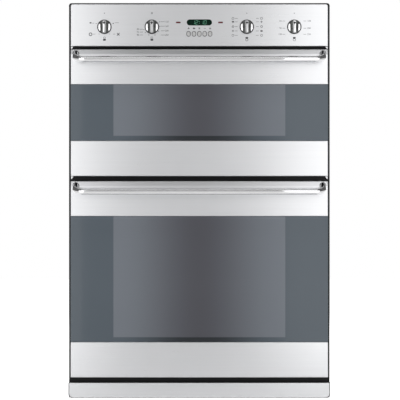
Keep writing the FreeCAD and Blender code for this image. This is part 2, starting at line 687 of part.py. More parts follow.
def make_blower():
    """Make the cooling blower that hangs under the top panel."""
    half = "(blower_width / 2)"
    low = f"({ROOF} - blower_height)"
    y = ("blower_back - blower_depth", "blower_back")
    axis_y, axis_z = "(blower_back - blower_depth / 2)", f"({ROOF} - blower_height / 2)"
    shell = tray("blower_case", around(half), y, (low, ROOF), "body_sheet", "-y")
    hole = rod("blower_hole", "x", "shaft_radius + 2", "20", f"{half} - 10", axis_y, axis_z)
    intake = [box(f"blower_intake{at}", (f"{at * 40 - 15}", f"{at * 40 + 15}"),
                  (f"{axis_y} - 25", f"{axis_y} + 25"), (f"{low} - 5", f"{low} + 5")) for at in range(-3, 4)]
    keep("blower_housing", cut("blower_cut", shell, [hole] + intake))

    body = doc.addObject("PartDesign::Body", "drum")
    for at, place in enumerate(("-rotor_length / 2", "-1", "rotor_length / 2 - 2")):
        disc = sketch_on(body, "YZ_Plane", place)
        draw_circle(disc, "0", "0", "rotor_radius")
        feature(body, "Pad", disc, "2")
        if at == 0:
            shaft = sketch_on(body, "YZ_Plane", place)
            draw_circle(shaft, "0", "0", "shaft_radius")
            feature(body, "Pad", shaft, "rotor_length + 30")
    rotor_blades(body, "YZ_Plane", "-rotor_length / 2", "rotor_radius - 9", "rotor_radius - 0.5", "0.6",
                 "rotor_length", DRUM_BLADES, "X_Axis")
    keep("blower_rotor", put(body, "0", axis_y, axis_z))

    motor = rod("blower_motor_case", "x", "motor_radius", "motor_length", half, axis_y, axis_z)
    bore = rod("blower_motor_bore", "x", "shaft_radius + shaft_gap", "30", f"{half} - 1", axis_y, axis_z)
    keep("blower_motor", cut("blower_motor_cut", motor, [bore]))


# ---------------------------------------------------------------- doors

def handle(name, height):
    """Make a tubular handle: a bar whose ends bend back and up to their feet on the door."""
    half, reach = "(door_width / 2 - handle_margin)", "(handle_reach + handle_radius + 2)"
    bend_at = f"({half} - handle_bend)"
    tube = [rod(name + "_bar", "x", "handle_radius", f"2 * {bend_at}", f"-{bend_at}", "0", "0")]
    for side, start in ((-1, 180), (1, -90)):
        bend = doc.addObject("Part::Torus", name + "_bend")
        bind(bend, "Radius1", "handle_bend")
        bind(bend, "Radius2", "handle_radius")
        bend.Angle3 = 90
        bend.Placement = FreeCAD.Placement(FreeCAD.Vector(), FreeCAD.Rotation(FreeCAD.Vector(0, 0, 1), start))
        tube.append(put(bend, f"{side} * {bend_at}", "handle_bend"))
        tube.append(rod(name + "_leg", "y", "handle_radius", f"{reach} * 1.1 - handle_bend",
                        f"{side} * {half}", "handle_bend", "0"))
    bar = fuse(name + "_tube", tube)
    bar.Placement = FreeCAD.Placement(FreeCAD.Vector(), FreeCAD.Rotation(FreeCAD.Vector(1, 0, 0), 1))
    bind(bar, "Placement.Rotation.Angle", "atan(handle_drop / handle_reach)")
    put(bar, "0", f"{DOOR_FRONT} - handle_reach", f"{height} - handle_drop")
    beyond = box(name + "_beyond", around("door_width"), (DOOR_FRONT, f"{DOOR_FRONT} + 60"),
                 (f"{height} - 60", f"{height} + 60"))
    return cut(name + "_cut", bar, [beyond])


def make_door(door, base, top):
    """Make one drop-down door: two steel rails, two glasses, the inner frame, handle and hinge bodies."""
    half = "(door_width / 2)"
    low_rail, high_rail = f"({base} + lower_rail_height)", f"({top} - upper_rail_height)"
    fold = (DOOR_FRONT, f"({DOOR_FRONT} + rail_depth)")
    for rail, z, open_end in (("lower", (base, low_rail), 1), ("upper", (high_rail, top), 0)):
        hollow = [f"{z[0]} + door_sheet", f"{z[1]} - door_sheet"]
        hollow[open_end] = f"{z[open_end]} {'+' if open_end else '-'} 1"
        inside = box(f"{door}_{rail}_hollow", around(f"{half} - door_sheet"),
                     (f"{fold[0]} + door_sheet", f"{fold[1]} + 1"), tuple(hollow))
        sheet = box(f"{door}_{rail}_sheet", around(half), fold, z)
        keep(f"{door}_door_{rail}_rail", cut(f"{door}_{rail}_rail", sheet,
                                             [inside]))
    keep(f"{door}_door_outer_glass", box(f"{door}_outer_glass", around(half),
                                         (DOOR_FRONT, f"{DOOR_FRONT} + outer_glass_sheet"),
                                         (low_rail, high_rail)))

    side = f"({half} - door_inset)"
    y = (f"({DOOR_FRONT} + outer_glass_sheet)", DOOR_BACK)
    shell = tray(f"{door}_frame", around(side), y, (f"({base} + door_inset)", f"({top} - door_inset)"),
                 "door_sheet", "-y")
    view = (f"({low_rail} + window_edge)", high_rail)
    back = f"({DOOR_BACK} - door_sheet)"
    tools = [box(f"{door}_window", around("window_width / 2"), (f"{back} - 2", f"{DOOR_BACK} + 2"), view)]
    pivot = f"({base} + hinge_height)"
    slot = "(hinge_arm_width / 2 + hinge_gap)"
    for at in HINGES:
        tools.append(box(f"{door}_slot", (f"{at} - {slot}", f"{at} + {slot}"),
                         (f"{HINGE_Y} - hinge_arm_height / 2 - hinge_gap", f"{DOOR_BACK} + 2"),
                         (f"{base} - 1", f"{pivot} + hinge_arm_height / 2 + hinge_gap")))
    keep(f"{door}_door_frame", cut(f"{door}_frame_cut", shell, tools))
    keep(f"{door}_door_inner_glass", box(f"{door}_inner_glass", around("window_width / 2 + glass_grip"),
                                         (f"{back} - inner_glass_sheet", back),
                                         (f"{view[0]} - glass_grip", f"{view[1]} + glass_grip")))
    keep(f"{door}_door_handle", handle(f"{door}_handle", f"({top} - handle_foot)"))

    bodies = []
    floor = f"({base} + door_inset + door_sheet)"
    for number, at in enumerate(HINGES):
        depth = (f"{HINGE_Y} - hinge_arm_height / 2 - hinge_gap - 2",
                 f"{HINGE_Y} + hinge_arm_height / 2 + hinge_gap")
        block = box(f"{door}_hinge_block{number}", (f"{at} - {slot} - 3", f"{at} + {slot} + 3"), depth,
                    (floor, f"{pivot} + hinge_body_height"))
        channel = box(f"{door}_hinge_channel{number}", (f"{at} - {slot}", f"{at} + {slot}"),
                      (f"{depth[0]} + 2", f"{depth[1]} + 2"),
                      (f"{floor} - 2", f"{pivot} + hinge_body_height + 2"))
        pin_hole = rod(f"{door}_hinge_hole{number}", "x", "hinge_pin_radius + shaft_gap",
                       "4 * hinge_pin_length", f"{at} - 2 * hinge_pin_length", HINGE_Y, pivot)
        bodies.append(cut(f"{door}_hinge{number}", block, [channel, pin_hole]))
    keep(f"{door}_hinge_bodies", group(f"{door}_hinge_pair", bodies))


def make_hinge_arms():
    """Make the fixed hinge arms: each has a rounded nose with its pin, and a foot behind the front frame."""
    arms = []
    for door, base in (("upper", UPPER_DOOR), ("lower", LOWER_DOOR)):
        pivot = f"({base} + hinge_height)"
        for number, at in enumerate(HINGES):
            x = (f"{at} - hinge_arm_width / 2", f"{at} + hinge_arm_width / 2")
            name = f"{door}_arm{number}"
            bar = box(name + "_bar", x, (HINGE_Y, "hinge_arm_reach"),
                      (f"{pivot} - hinge_arm_height / 2", f"{pivot} + hinge_arm_height / 2"))
            nose = rod(name + "_nose", "x", "hinge_arm_height / 2", "hinge_arm_width", x[0], HINGE_Y, pivot)
            pin = rod(name + "_pin", "x", "hinge_pin_radius", "hinge_pin_length",
                      f"{at} - hinge_pin_length / 2",
                      HINGE_Y, pivot)
            foot = box(name + "_foot", (f"{at} - hinge_arm_width", f"{at} + hinge_arm_width"),
                       ("0", "hinge_arm_reach"),
                       (f"{pivot} - hinge_arm_height", f"{pivot} + hinge_arm_height"))
            arms.append(fuse(name, [bar, nose, pin, foot]))
    keep("hinge_arms", group("arms", arms))


# ---------------------------------------------------------------- controls

KNOB_OUTER = f"({BOX_SIDE} - knob_margin)"
KNOB_INNER = f"({KNOB_OUTER} - knob_pitch)"
KNOBS = {
    "upper_function": f"-{KNOB_OUTER}",
    "upper_temperature": f"-{KNOB_INNER}",
    "lower_function": KNOB_INNER,
    "lower_temperature": KNOB_OUTER,
}
BUTTONS = {"back": -2, "minus": -1, "mode": 0, "plus": 1, "next": 2}
KNOB_Z = f"({PANEL} + knob_height)"
DISPLAY_Z = f"({PANEL} + display_height)"
BUTTON_Z = f"({PANEL} + button_height)"
BOARD_FRONT = f"({BRACKET} - 4)"


def make_panel():
    """Make the control panel, its window, lamps and the clock board."""
    through = (f"{DOOR_FRONT} - 2", f"{DOOR_FRONT} + 5")
    shell = tray("panel", around("door_width / 2"), (DOOR_FRONT, "-front_sheet"),
                 (PANEL, f"({PANEL} + panel_height)"), "door_sheet", "+y")
    tools = [rod("panel_spindle_hole", "y", "spindle_radius + 1", "10", x, f"{DOOR_FRONT} - 4", KNOB_Z)
             for x in KNOBS.values()]
    tools.append(stadium("panel_window", "display_width", "display_tall", through, "0", DISPLAY_Z))
    for side in (-1, 1):
        tools.append(stadium("panel_lamp", "lamp_width", "lamp_tall", through,
                             f"{side} * lamp_offset", DISPLAY_Z))
    for step in BUTTONS.values():
        tools.append(stadium("panel_button", "button_width", "button_tall", through,
                             f"{step} * button_pitch", BUTTON_Z, "shaft_gap"))
    keep("control_panel", cut("panel_cut", shell, tools))

    behind = (DOOR_FRONT, f"{DOOR_FRONT} + 3")
    keep("display_window", stadium("window", "display_width", "display_tall", behind, "0", DISPLAY_Z))
    lamps = [stadium(f"lamp{side}", "lamp_width", "lamp_tall", (DOOR_FRONT, BOARD_FRONT),
                     f"{side} * lamp_offset", DISPLAY_Z) for side in (-1, 1)]
    keep("indicator_lamps", group("lamp_pair", lamps))

    board = box("board", around("lamp_offset + lamp_width"), (BOARD_FRONT, f"{BOARD_FRONT} + 1.6"),
                (f"{BUTTON_Z} - button_tall", f"{DISPLAY_Z} + display_tall"))
    module = box("display_module", around("display_width / 2 + 2"), (f"{DOOR_FRONT} + 3", BOARD_FRONT),
                 (f"{DISPLAY_Z} - display_tall / 2 - 1", f"{DISPLAY_Z} + display_tall / 2 + 1"))
    posts = [rod("board_post", "y", "2", f"{BRACKET} - {BOARD_FRONT}",
                 f"{side} * lamp_offset", BOARD_FRONT, z)
             for side in (-1, 1) for z in (f"({BUTTON_Z} - 5)", f"({DISPLAY_Z} + 5)")]
    keep("clock_board", fuse("board_sum", [board, module] + posts))


def make_control_box():
    """Make the box behind the panel and the rotary switches on its front wall."""
    wall = "body_sheet"
    box_shell = tray("control", around(BOX_SIDE), (BRACKET, "box_depth"), (BOX_LOW, BOX_HIGH), wall, "+y")
    holes = [rod("control_hole", "y", "spindle_radius + 1", "10", x, f"{BRACKET} - 4", KNOB_Z)
             for x in KNOBS.values()]
    keep("control_box", cut("control_cut", box_shell, holes))
    switches = []
    front = f"({BRACKET} + {wall})"
    for number, x in enumerate(KNOBS.values()):
        case = box(f"switch{number}", (f"{x} - switch_size / 2", f"{x} + switch_size / 2"),
                   (front, f"{front} + switch_depth"),
                   (f"{KNOB_Z} - switch_size / 2", f"{KNOB_Z} + switch_size / 2"))
        bore = rod(f"switch_bore{number}", "y", "spindle_radius + shaft_gap", "13", x, f"{front} - 1", KNOB_Z)
        switches.append(cut(f"switch_cut{number}", case, [bore]))
    keep("rotary_switches", group("switches", switches))


def make_knob(name, x):
    """Make one knob, a round skirt with a raised grip, and the spindle that it turns."""
    body = doc.addObject("PartDesign::Body", f"knob_{name}_body")
    skirt = sketch_on(body, "XZ_Plane")
    draw_circle(skirt, "0", "0", "knob_radius")
    feature(body, "Pad", skirt, "knob_skirt")
    grip = sketch_on(body, "XZ_Plane")
    draw_rectangle(grip, around("knob_grip_width / 2"), around("knob_radius - 2"))
    feature(body, "Pad", grip, "knob_skirt + knob_grip_depth")
    face = f"({DOOR_FRONT} - knob_gap)"
    put(body, x, face, KNOB_Z)
    spindle = rod(f"spindle_{name}", "y", "spindle_radius",
                  f"{BRACKET} + body_sheet + 11 - {face}", x, face, KNOB_Z)
    keep(f"knob_{name}", group(f"knob_{name}_set", [body, spindle]))


def make_button(name, step):
    """Make one oval push button that stands through the panel."""
    y = (f"({DOOR_FRONT} - button_proud)", f"({BOARD_FRONT} - shaft_gap - button_travel)")
    keep(f"button_{name}", stadium(f"button_{name}_cap", "button_width", "button_tall", y,
                                   f"{step} * button_pitch", BUTTON_Z))


def make_supply():
    """Make the terminal box and the cable gland on the rear panel."""
    back = "(body_depth - body_sheet)"
    x = ("terminal_side - terminal_width / 2", "terminal_side + terminal_width / 2")
    case = tray("terminal", x, (f"{back} - terminal_depth", back),
                ("terminal_level - terminal_height / 2", "terminal_level + terminal_height / 2"), "2", "+y")
    keep("terminal_box", case)
    gland = rod("gland_body", "y", "gland_radius", "body_sheet + gland_length", "terminal_side", back,
                "terminal_level")
    bore = rod("gland_hole", "y", "gland_bore", "4 * gland_length", "terminal_side", f"{back} - gland_length",
               "terminal_level")
    keep("cable_gland", cut("gland_cut", gland, [bore]))


# ---------------------------------------------------------------- build and write

def check_and_write():
    """Stop on any failed object or bad shape, then write each sub-part."""
    doc.recompute()
    for thing in doc.Objects:
        if "Invalid" in thing.State or "Error" in thing.State:
            raise RuntimeError(f"{thing.Name} ({thing.Label}) failed: {thing.State}")
    for node, thing in nodes.items():
        if thing.Shape.isNull() or not thing.Shape.isValid() or not thing.Shape.Solids:
            raise RuntimeError(f"{node} has no valid solid")
    os.makedirs("parts", exist_ok=True)
    for node, thing in nodes.items():
        thing.Shape.exportStep(f"parts/{node}.step")
        print(f"{node}: {len(thing.Shape.Solids)} solids, {thing.Shape.Volume / 1000:.1f} cm3")


make_casing()
make_front_frame()
make_ovens()
make_racks()
make_convection_fan()
make_blower()
make_door("upper", UPPER_DOOR, UPPER_TOP)
make_door("lower", LOWER_DOOR, LOWER_TOP)
make_hinge_arms()
make_panel()
make_control_box()
for knob_name, knob_x in KNOBS.items():
    make_knob(knob_name, knob_x)
for button_name, button_step in BUTTONS.items():
    make_button(button_name, button_step)
make_supply()
check_and_write()
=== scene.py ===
"""Looks of a built-in double oven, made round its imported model.

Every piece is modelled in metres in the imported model's own frame: +Z up, +Y into the
cabinet, the doors towards -Y.  Each sub-assembly is a class, each finish a small class.
"""
import json
import logging
import math
from dataclasses import dataclass
from enum import Enum
from typing import Callable, Iterable, Sequence, Union

import bmesh
import bpy
from mathutils import Matrix, Vector


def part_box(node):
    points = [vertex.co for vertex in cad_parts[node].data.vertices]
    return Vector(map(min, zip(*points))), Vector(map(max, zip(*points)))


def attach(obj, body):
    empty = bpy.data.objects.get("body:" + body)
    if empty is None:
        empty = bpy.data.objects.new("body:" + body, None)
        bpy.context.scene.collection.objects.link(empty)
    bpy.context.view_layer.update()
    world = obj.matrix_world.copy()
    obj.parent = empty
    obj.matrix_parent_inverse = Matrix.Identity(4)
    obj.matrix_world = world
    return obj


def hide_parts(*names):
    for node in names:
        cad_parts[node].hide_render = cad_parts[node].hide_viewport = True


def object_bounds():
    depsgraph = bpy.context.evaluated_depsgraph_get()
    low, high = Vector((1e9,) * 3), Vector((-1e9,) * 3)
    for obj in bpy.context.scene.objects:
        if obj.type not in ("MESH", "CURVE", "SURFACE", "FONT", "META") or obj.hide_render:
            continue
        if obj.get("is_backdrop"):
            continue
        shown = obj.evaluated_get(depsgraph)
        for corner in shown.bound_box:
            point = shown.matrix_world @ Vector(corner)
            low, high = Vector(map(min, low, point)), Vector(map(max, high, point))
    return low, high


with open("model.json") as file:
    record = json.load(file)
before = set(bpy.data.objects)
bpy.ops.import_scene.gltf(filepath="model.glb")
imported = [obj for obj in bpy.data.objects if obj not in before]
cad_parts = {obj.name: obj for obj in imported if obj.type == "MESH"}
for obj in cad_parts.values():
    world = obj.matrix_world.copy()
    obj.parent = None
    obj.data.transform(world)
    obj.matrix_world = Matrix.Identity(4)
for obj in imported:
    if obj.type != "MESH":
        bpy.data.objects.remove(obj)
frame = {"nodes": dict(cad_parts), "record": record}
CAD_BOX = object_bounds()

LOG = logging.getLogger("oven")
MM = 0.001
Number = Union[int, float]
Colour = tuple[float, float, float]


# ------------------------------------------------------------------ shader sums

class Wire:
    """A socket's value that can be used in ordinary sums."""

    def __init__(self, shader: "Shader", socket: bpy.types.NodeSocket) -> None:
        """Hold the socket and the shader it belongs to."""
        self.shader = shader
        self.socket = socket

    def maths(self, operation: str, *others: Union["Wire", Number]) -> "Wire":
        """Add a Math node.

        Args:
            operation: the Math node's operation.
            *others: what goes into its sockets after this value, in order.

        Returns:
            The node's result.
        """
        values = dict(enumerate((self, *others)))
        node = self.shader.node("ShaderNodeMath", {"operation": operation}, values)
        return Wire(self.shader, node.outputs[0])

    def __add__(self, other: Union["Wire", Number]) -> "Wire":
        """Add."""
        return self.maths("ADD", other)

    def __sub__(self, other: Union["Wire", Number]) -> "Wire":
        """Take away."""
        return self.maths("SUBTRACT", other)

    def __rsub__(self, other: Union["Wire", Number]) -> "Wire":
        """Take this from a number."""
        return self.maths("MULTIPLY_ADD", -1.0, other)

    def __mul__(self, other: Union["Wire", Number]) -> "Wire":
        """Multiply."""
        return self.maths("MULTIPLY", other)

    def __abs__(self) -> "Wire":
        """Drop the sign."""
        return self.maths("ABSOLUTE")

    def sine(self) -> "Wire":
        """Take the sine."""
        return self.maths("SINE")

    def larger(self, other: Union["Wire", Number]) -> "Wire":
        """Keep the larger of two values."""
        return self.maths("MAXIMUM", other)

    def step(self, start: Number, end: Number) -> "Wire":
        """Rise smoothly from 0 at start to 1 at end.

        Args:
            start: the value that gives 0.
            end: the value that gives 1.

        Returns:
            The eased value.
        """
        settings = {"interpolation_type": "SMOOTHSTEP"}
        values = {"Value": self, "From Min": start, "From Max": end}
        node = self.shader.node("ShaderNodeMapRange", settings, values)
        return Wire(self.shader, node.outputs[0])

    __radd__ = __add__
    __rmul__ = __mul__


class Shader:
    """One material's node tree, built by expressions."""

    def __init__(self, name: str) -> None:
        """Start a material with a Principled shader.

        Args:
            name: the material's name.
        """
        self.material = bpy.data.materials.new(name)
        self.material.use_nodes = True
        self.tree = self.material.node_tree
        self.surface = self.tree.nodes["Principled BSDF"]

    def node(self, kind: str, settings: dict, values: dict) -> bpy.types.Node:
        """Add any node.

        Args:
            kind: the node's type.
            settings: its properties; "stops" gives a ramp's places and colours.
            values: socket names or numbers, each with a number, a vector or a Wire.

        Returns:
            The new node.
        """
        made = self.tree.nodes.new(kind)
        for name, setting in settings.items():
            if name != "stops":
                setattr(made, name, setting)
        if "stops" in settings:
            ramp = made.color_ramp.elements
            while len(ramp) < len(settings["stops"]):
                ramp.new(0.5)
            for element, (place, colour) in zip(ramp, settings["stops"]):
                element.position = place
                element.color = (*colour, 1)
        for socket, value in values.items():
            self.feed(made.inputs[socket], value)
        return made

    def feed(self, socket: bpy.types.NodeSocket, value: object) -> None:
        """Link a Wire to a socket, or set the socket's own value.

        Args:
            socket: the socket.
            value: a Wire, or what the socket itself holds.
        """
        if isinstance(value, Wire):
            self.tree.links.new(value.socket, socket)
        else:
            socket.default_value = value

    def out(self, node: bpy.types.Node, name: Union[str, int] = 0) -> Wire:
        """Wrap one of a node's results."""
        return Wire(self, node.outputs[name])

    def place(self) -> Wire:
        """Return the object coordinates as a vector."""
        return self.out(self.node("ShaderNodeTexCoord", {}, {}), "Object")

    def axes(self) -> tuple[Wire, Wire, Wire]:
        """Return the object coordinates as three numbers."""
        split = self.node("ShaderNodeSeparateXYZ", {}, {0: self.place()})
        return self.out(split, 0), self.out(split, 1), self.out(split, 2)

    def noise(self, scale: Sequence[float], detail: float = 2.0, roughness: float = 0.5) -> Wire:
        """Return noise whose grain is scaled by its own number along each axis.

        Args:
            scale: the grain's number along each axis; a higher one is finer.
            detail: how many finer layers there are.
            roughness: how much the finer layers count.

        Returns:
            The noise, from 0 to 1.
        """
        spread = self.node("ShaderNodeMapping", {}, {"Vector": self.place(), "Scale": tuple(scale)})
        grain = self.node("ShaderNodeTexNoise", {}, {
            "Vector": self.out(spread), "Scale": 1.0, "Detail": detail, "Roughness": roughness})
        return self.out(grain, 0)

    def ramp(self, value: Wire, stops: Sequence[tuple[float, Colour]]) -> Wire:
        """Turn a number into a colour."""
        return self.out(self.node("ShaderNodeValToRGB", {"stops": stops}, {0: value}))

    def mix(self, factor: Union[Wire, Number], low: object, high: object) -> Wire:
        """Blend two colours, each a triple or a Wire.

        Args:
            factor: 0 for the first colour and 1 for the second.
            low: the first colour.
            high: the second colour.

        Returns:
            The blend.
        """
        low, high = ((*c, 1.0) if isinstance(c, tuple) else c for c in (low, high))
        node = self.node("ShaderNodeMix", {"data_type": "RGBA"}, {0: factor, 6: low, 7: high})
        return self.out(node, 2)

    def bump(self, height: Wire, distance: float, strength: float = 1.0) -> None:
        """Let a height pattern tilt the surface."""
        node = self.node("ShaderNodeBump", {}, {"Height": height, "Distance": distance, "Strength": strength})
        self.feed(self.surface.inputs["Normal"], self.out(node))

    def finish(self, **values: object) -> bpy.types.Material:
        """Set the Principled shader's sockets and return the material.

        Args:
            **values: socket names, with _ for a space, each with a value or a Wire.

        Returns:
            The material.
        """
        for name, value in values.items():
            socket = self.surface.inputs[name.replace("_", " ")]
            if isinstance(value, tuple) and len(value) == 3:
                value = (*value, 1.0)
            self.feed(socket, value)
        return self.material


# ------------------------------------------------------------------ finishes

@dataclass(frozen=True)
class Finish:
    """A finish that is made once and then shared.  The slot is the record's name for it."""

    name: str
    slot: str

    def paint(self, shader: Shader) -> bpy.types.Material:
        """Build the finish in a shader."""
        raise NotImplementedError

    def material(self) -> bpy.types.Material:
        """Return the finish's material, made on first use."""
        title = "finish_" + self.name
        return bpy.data.materials.get(title) or self.paint(Shader(title))


@dataclass(frozen=True)
class BrushedSteel(Finish):
    """Stainless sheet with a fine grain brushed from side to side."""

    tone: Colour = (0.77, 0.775, 0.79)
    roughness: float = 0.30
    grain: float = 2600.0

    def paint(self, shader: Shader) -> bpy.types.Material:
        """Build the finish: thin streaks, a cloudy tone and finger-dulled patches.

        Args:
            shader: the shader of a new material.

        Returns:
            The finished material.
        """
        fine = shader.noise((9.0, 700.0, self.grain), 3.0)
        broad = shader.noise((2.0, 90.0, 320.0), 2.0)
        cloud = shader.noise((5.0, 5.0, 5.0), 3.0)
        shade = fine * 0.10 + broad * 0.06 + cloud * 0.05
        dark = tuple(0.86 * part for part in self.tone)
        shader.bump(fine, 0.00002, 0.35)
        return shader.finish(Base_Color=shader.mix(shade * 5.0, dark, self.tone), Metallic=1.0,
                             Roughness=self.roughness + fine * 0.10 + cloud * 0.06 - 0.08)


@dataclass(frozen=True)
class Polished(Finish):
    """Bright plated metal with faint smears and fine wear."""

    tone: Colour = (0.90, 0.90, 0.91)
    roughness: float = 0.03

    def paint(self, shader: Shader) -> bpy.types.Material:
        """Build the finish.

        Args:
            shader: the shader of a new material.

        Returns:
            The finished material.
        """
        smear = shader.noise((14.0, 60.0, 60.0), 4.0, 0.6)
        spots = shader.noise((420.0, 420.0, 420.0), 2.0)
        dull = smear.step(0.5, 0.8)
        dim = tuple(0.88 * part for part in self.tone)
        shader.bump(spots, 0.000006, 0.2)
        return shader.finish(Base_Color=shader.mix(dull, self.tone, dim), Metallic=1.0,
                             Roughness=self.roughness + dull * 0.05 + spots * 0.015)


@dataclass(frozen=True)
class Enamel(Finish):
    """Fired vitreous enamel with orange peel and fine pale flecks."""

    tone: Colour = (0.012, 0.012, 0.014)
    fleck: Colour = (0.20, 0.21, 0.23)
    roughness: float = 0.22
    coat: float = 0.5
    ior: float = 1.5

    def paint(self, shader: Shader) -> bpy.types.Material:
        """Build the finish.

        Args:
            shader: the shader of a new material.

        Returns:
            The finished material.
        """
        peel = shader.noise((260.0, 260.0, 260.0), 2.0)
        flecks = shader.noise((900.0, 900.0, 900.0), 1.0).step(0.70, 0.76)
        bake = shader.noise((12.0, 12.0, 12.0), 4.0)
        brown = tuple(part * 1.6 + 0.004 for part in self.tone)
        ground = shader.mix(bake, self.tone, brown)
        shader.bump(peel, 0.00006, 0.25)
        return shader.finish(Base_Color=shader.mix(flecks * 0.6, ground, self.fleck),
                             Roughness=self.roughness + bake * 0.12, IOR=self.ior,
                             Coat_Weight=self.coat, Coat_Roughness=0.12)


@dataclass(frozen=True)
class Galvanised(Finish):
    """Zinc-coated sheet with crystal spangles and a few dull stains."""

    tone: Colour = (0.60, 0.62, 0.64)
    spangle: float = 95.0

    def paint(self, shader: Shader) -> bpy.types.Material:
        """Build the finish.

        Args:
            shader: the shader of a new material.

        Returns:
            The finished material.
        """
        cells = shader.node("ShaderNodeTexVoronoi", {}, {"Vector": shader.place(), "Scale": self.spangle})
        tint = shader.node("ShaderNodeSeparateColor", {}, {0: shader.out(cells, "Color")})
        facet = shader.out(tint, 0)
        stain = shader.noise((7.0, 7.0, 7.0), 4.0).step(0.45, 0.8)
        dark = tuple(0.72 * part for part in self.tone)
        shader.bump(facet, 0.00002, 0.2)
        return shader.finish(Base_Color=shader.mix(facet * 0.7 + stain * 0.3, self.tone, dark), Metallic=0.85,
                             Roughness=0.36 + facet * 0.16 + stain * 0.10)


@dataclass(frozen=True)
class Moulded(Finish):
    """Moulded plastic or painted metal with a fine spark-eroded grain."""

    tone: Colour = (0.03, 0.03, 0.033)
    roughness: float = 0.45
    grain: float = 1500.0
    metallic: float = 0.0

    def paint(self, shader: Shader) -> bpy.types.Material:
        """Build the finish.

        Args:
            shader: the shader of a new material.

        Returns:
            The finished material.
        """
        grain = shader.noise((self.grain,) * 3, 2.0)
        wear = shader.noise((30.0, 30.0, 30.0), 4.0).step(0.5, 0.9)
        light = tuple(min(1.0, part * 1.35 + 0.01) for part in self.tone)
        shader.bump(grain, 0.00003, 0.3)
        return shader.finish(Base_Color=shader.mix(wear * 0.6 + grain * 0.2, self.tone, light),
                             Metallic=self.metallic, Roughness=self.roughness + grain * 0.12)


@dataclass(frozen=True)
class MineralWool(Finish):
    """Pressed mineral wool, yellow-brown and fibrous."""

    def paint(self, shader: Shader) -> bpy.types.Material:
        """Build the finish.

        Args:
            shader: the shader of a new material.

        Returns:
            The finished material.
        """
        fibre = shader.noise((900.0, 160.0, 420.0), 6.0, 0.7)
        tuft = shader.noise((60.0, 60.0, 60.0), 4.0)
        shader.bump(fibre + tuft * 2.0, 0.002, 0.8)
        tone = shader.mix(fibre * 0.6 + tuft * 0.5, (0.30, 0.22, 0.10), (0.72, 0.62, 0.38))
        return shader.finish(Base_Color=tone, Roughness=0.9)


@dataclass(frozen=True)
class WovenSeal(Finish):
    """Braided glass-fibre door seal, dark grey."""

    def paint(self, shader: Shader) -> bpy.types.Material:
        """Build the finish: two sets of slanting ribs that cross.

        Args:
            shader: the shader of a new material.

        Returns:
            The finished material.
        """
        x, _, z = shader.axes()
        rib = ((x + z) * 1900.0).sine().larger(((x - z) * 1900.0).sine()) * 0.5 + 0.5
        shader.bump(rib, 0.0004, 0.8)
        tone = shader.mix(rib, (0.012, 0.012, 0.013), (0.10, 0.10, 0.105))
        return shader.finish(Base_Color=tone, Roughness=0.8)


@dataclass(frozen=True)
class DoorGlass(Finish):
    """Dark mirrored door glass with a window painted in it. The window shows the dark oven room behind and is
    painted lighter towards its sides as a reflection of the side lights.

    The window is half_width wide each way from the centre line, and runs from low to high.
    """

    half_width: float = 0.195
    low: float = 0.1
    high: float = 0.4

    def paint(self, shader: Shader) -> bpy.types.Material:
        """Build the finish: mirror border, a plum-grey window painted lighter towards its sides as a
        reflection of the side lights, and a dark sill band of painted shade.

        Args:
            shader: the shader of a new material.

        Returns:
            The finished material.
        """
        x, _, z = shader.axes()
        side = abs(x)
        in_wide = 1.0 - side.step(self.half_width - 0.0012, self.half_width + 0.0012)
        in_tall = z.step(self.low - 0.0012, self.low + 0.0012)
        inside = in_wide * in_tall
        border = (0.094, 0.115, 0.136)
        # Painted reflection: the window is lighter towards its sides, where the side lights show in the
        # glass, and darker in the middle.
        depth = side.step(self.half_width * 0.96, 0.0)
        window = shader.mix(depth, (0.176, 0.194, 0.220), (0.079, 0.080, 0.094))
        # Painted shade: a dark band below the window, darkest in the middle and fading towards the sides.
        under = (1.0 - in_tall) * (1.0 - side.step(0.02, self.half_width))
        ground = shader.mix(inside, border, window)
        smear = shader.noise((22.0, 22.0, 22.0), 4.0).step(0.45, 0.85)
        return shader.finish(Base_Color=shader.mix(under * 0.88, ground, (0.010, 0.011, 0.013)), Metallic=0.0,
                             Roughness=0.10 + smear * 0.03, IOR=1.33, Coat_Weight=0.15, Coat_Roughness=0.04)


@dataclass(frozen=True)
class InnerGlass(Finish):
    """Clear inner glass with a printed dark border that fades in dots."""

    half_width: float = 0.195
    low: float = 0.1
    high: float = 0.4

    def paint(self, shader: Shader) -> bpy.types.Material:
        """Build the finish.

        Args:
            shader: the shader of a new material.

        Returns:
            The finished material.
        """
        x, _, z = shader.axes()
        middle, reach = (self.low + self.high) / 2, (self.high - self.low) / 2
        edge = (abs(x) - self.half_width).larger(abs(z - middle) - reach)
        dots = (x * 900.0).sine() * (z * 900.0).sine() * 0.006
        printed = (edge + dots).step(-0.0125, -0.0115)
        tone = shader.mix(printed, (0.55, 0.60, 0.58), (0.012, 0.012, 0.013))
        return shader.finish(Base_Color=tone, Alpha=printed * 0.66 + 0.34, Roughness=0.06,
                             Coat_Weight=0.5, Coat_Roughness=0.03)


@dataclass(frozen=True)
class Tinted(Finish):
    """Glossy tinted plastic, such as a display window or a lamp lens, with an optional glow."""

    tone: Colour = (0.001, 0.020, 0.011)
    glow: float = 0.0
    roughness: float = 0.12
    ior: float = 1.5

    def paint(self, shader: Shader) -> bpy.types.Material:
        """Build the finish.

        Args:
            shader: the shader of a new material.

        Returns:
            The finished material.
        """
        cloud = shader.noise((160.0, 160.0, 160.0), 3.0)
        deep = tuple(0.55 * part for part in self.tone)
        tint = shader.mix(cloud, deep, self.tone)
        lit = {"Emission_Color": tint, "Emission_Strength": self.glow} if self.glow else {}
        return shader.finish(Base_Color=tint, Roughness=self.roughness + cloud * 0.05, IOR=self.ior, **lit)


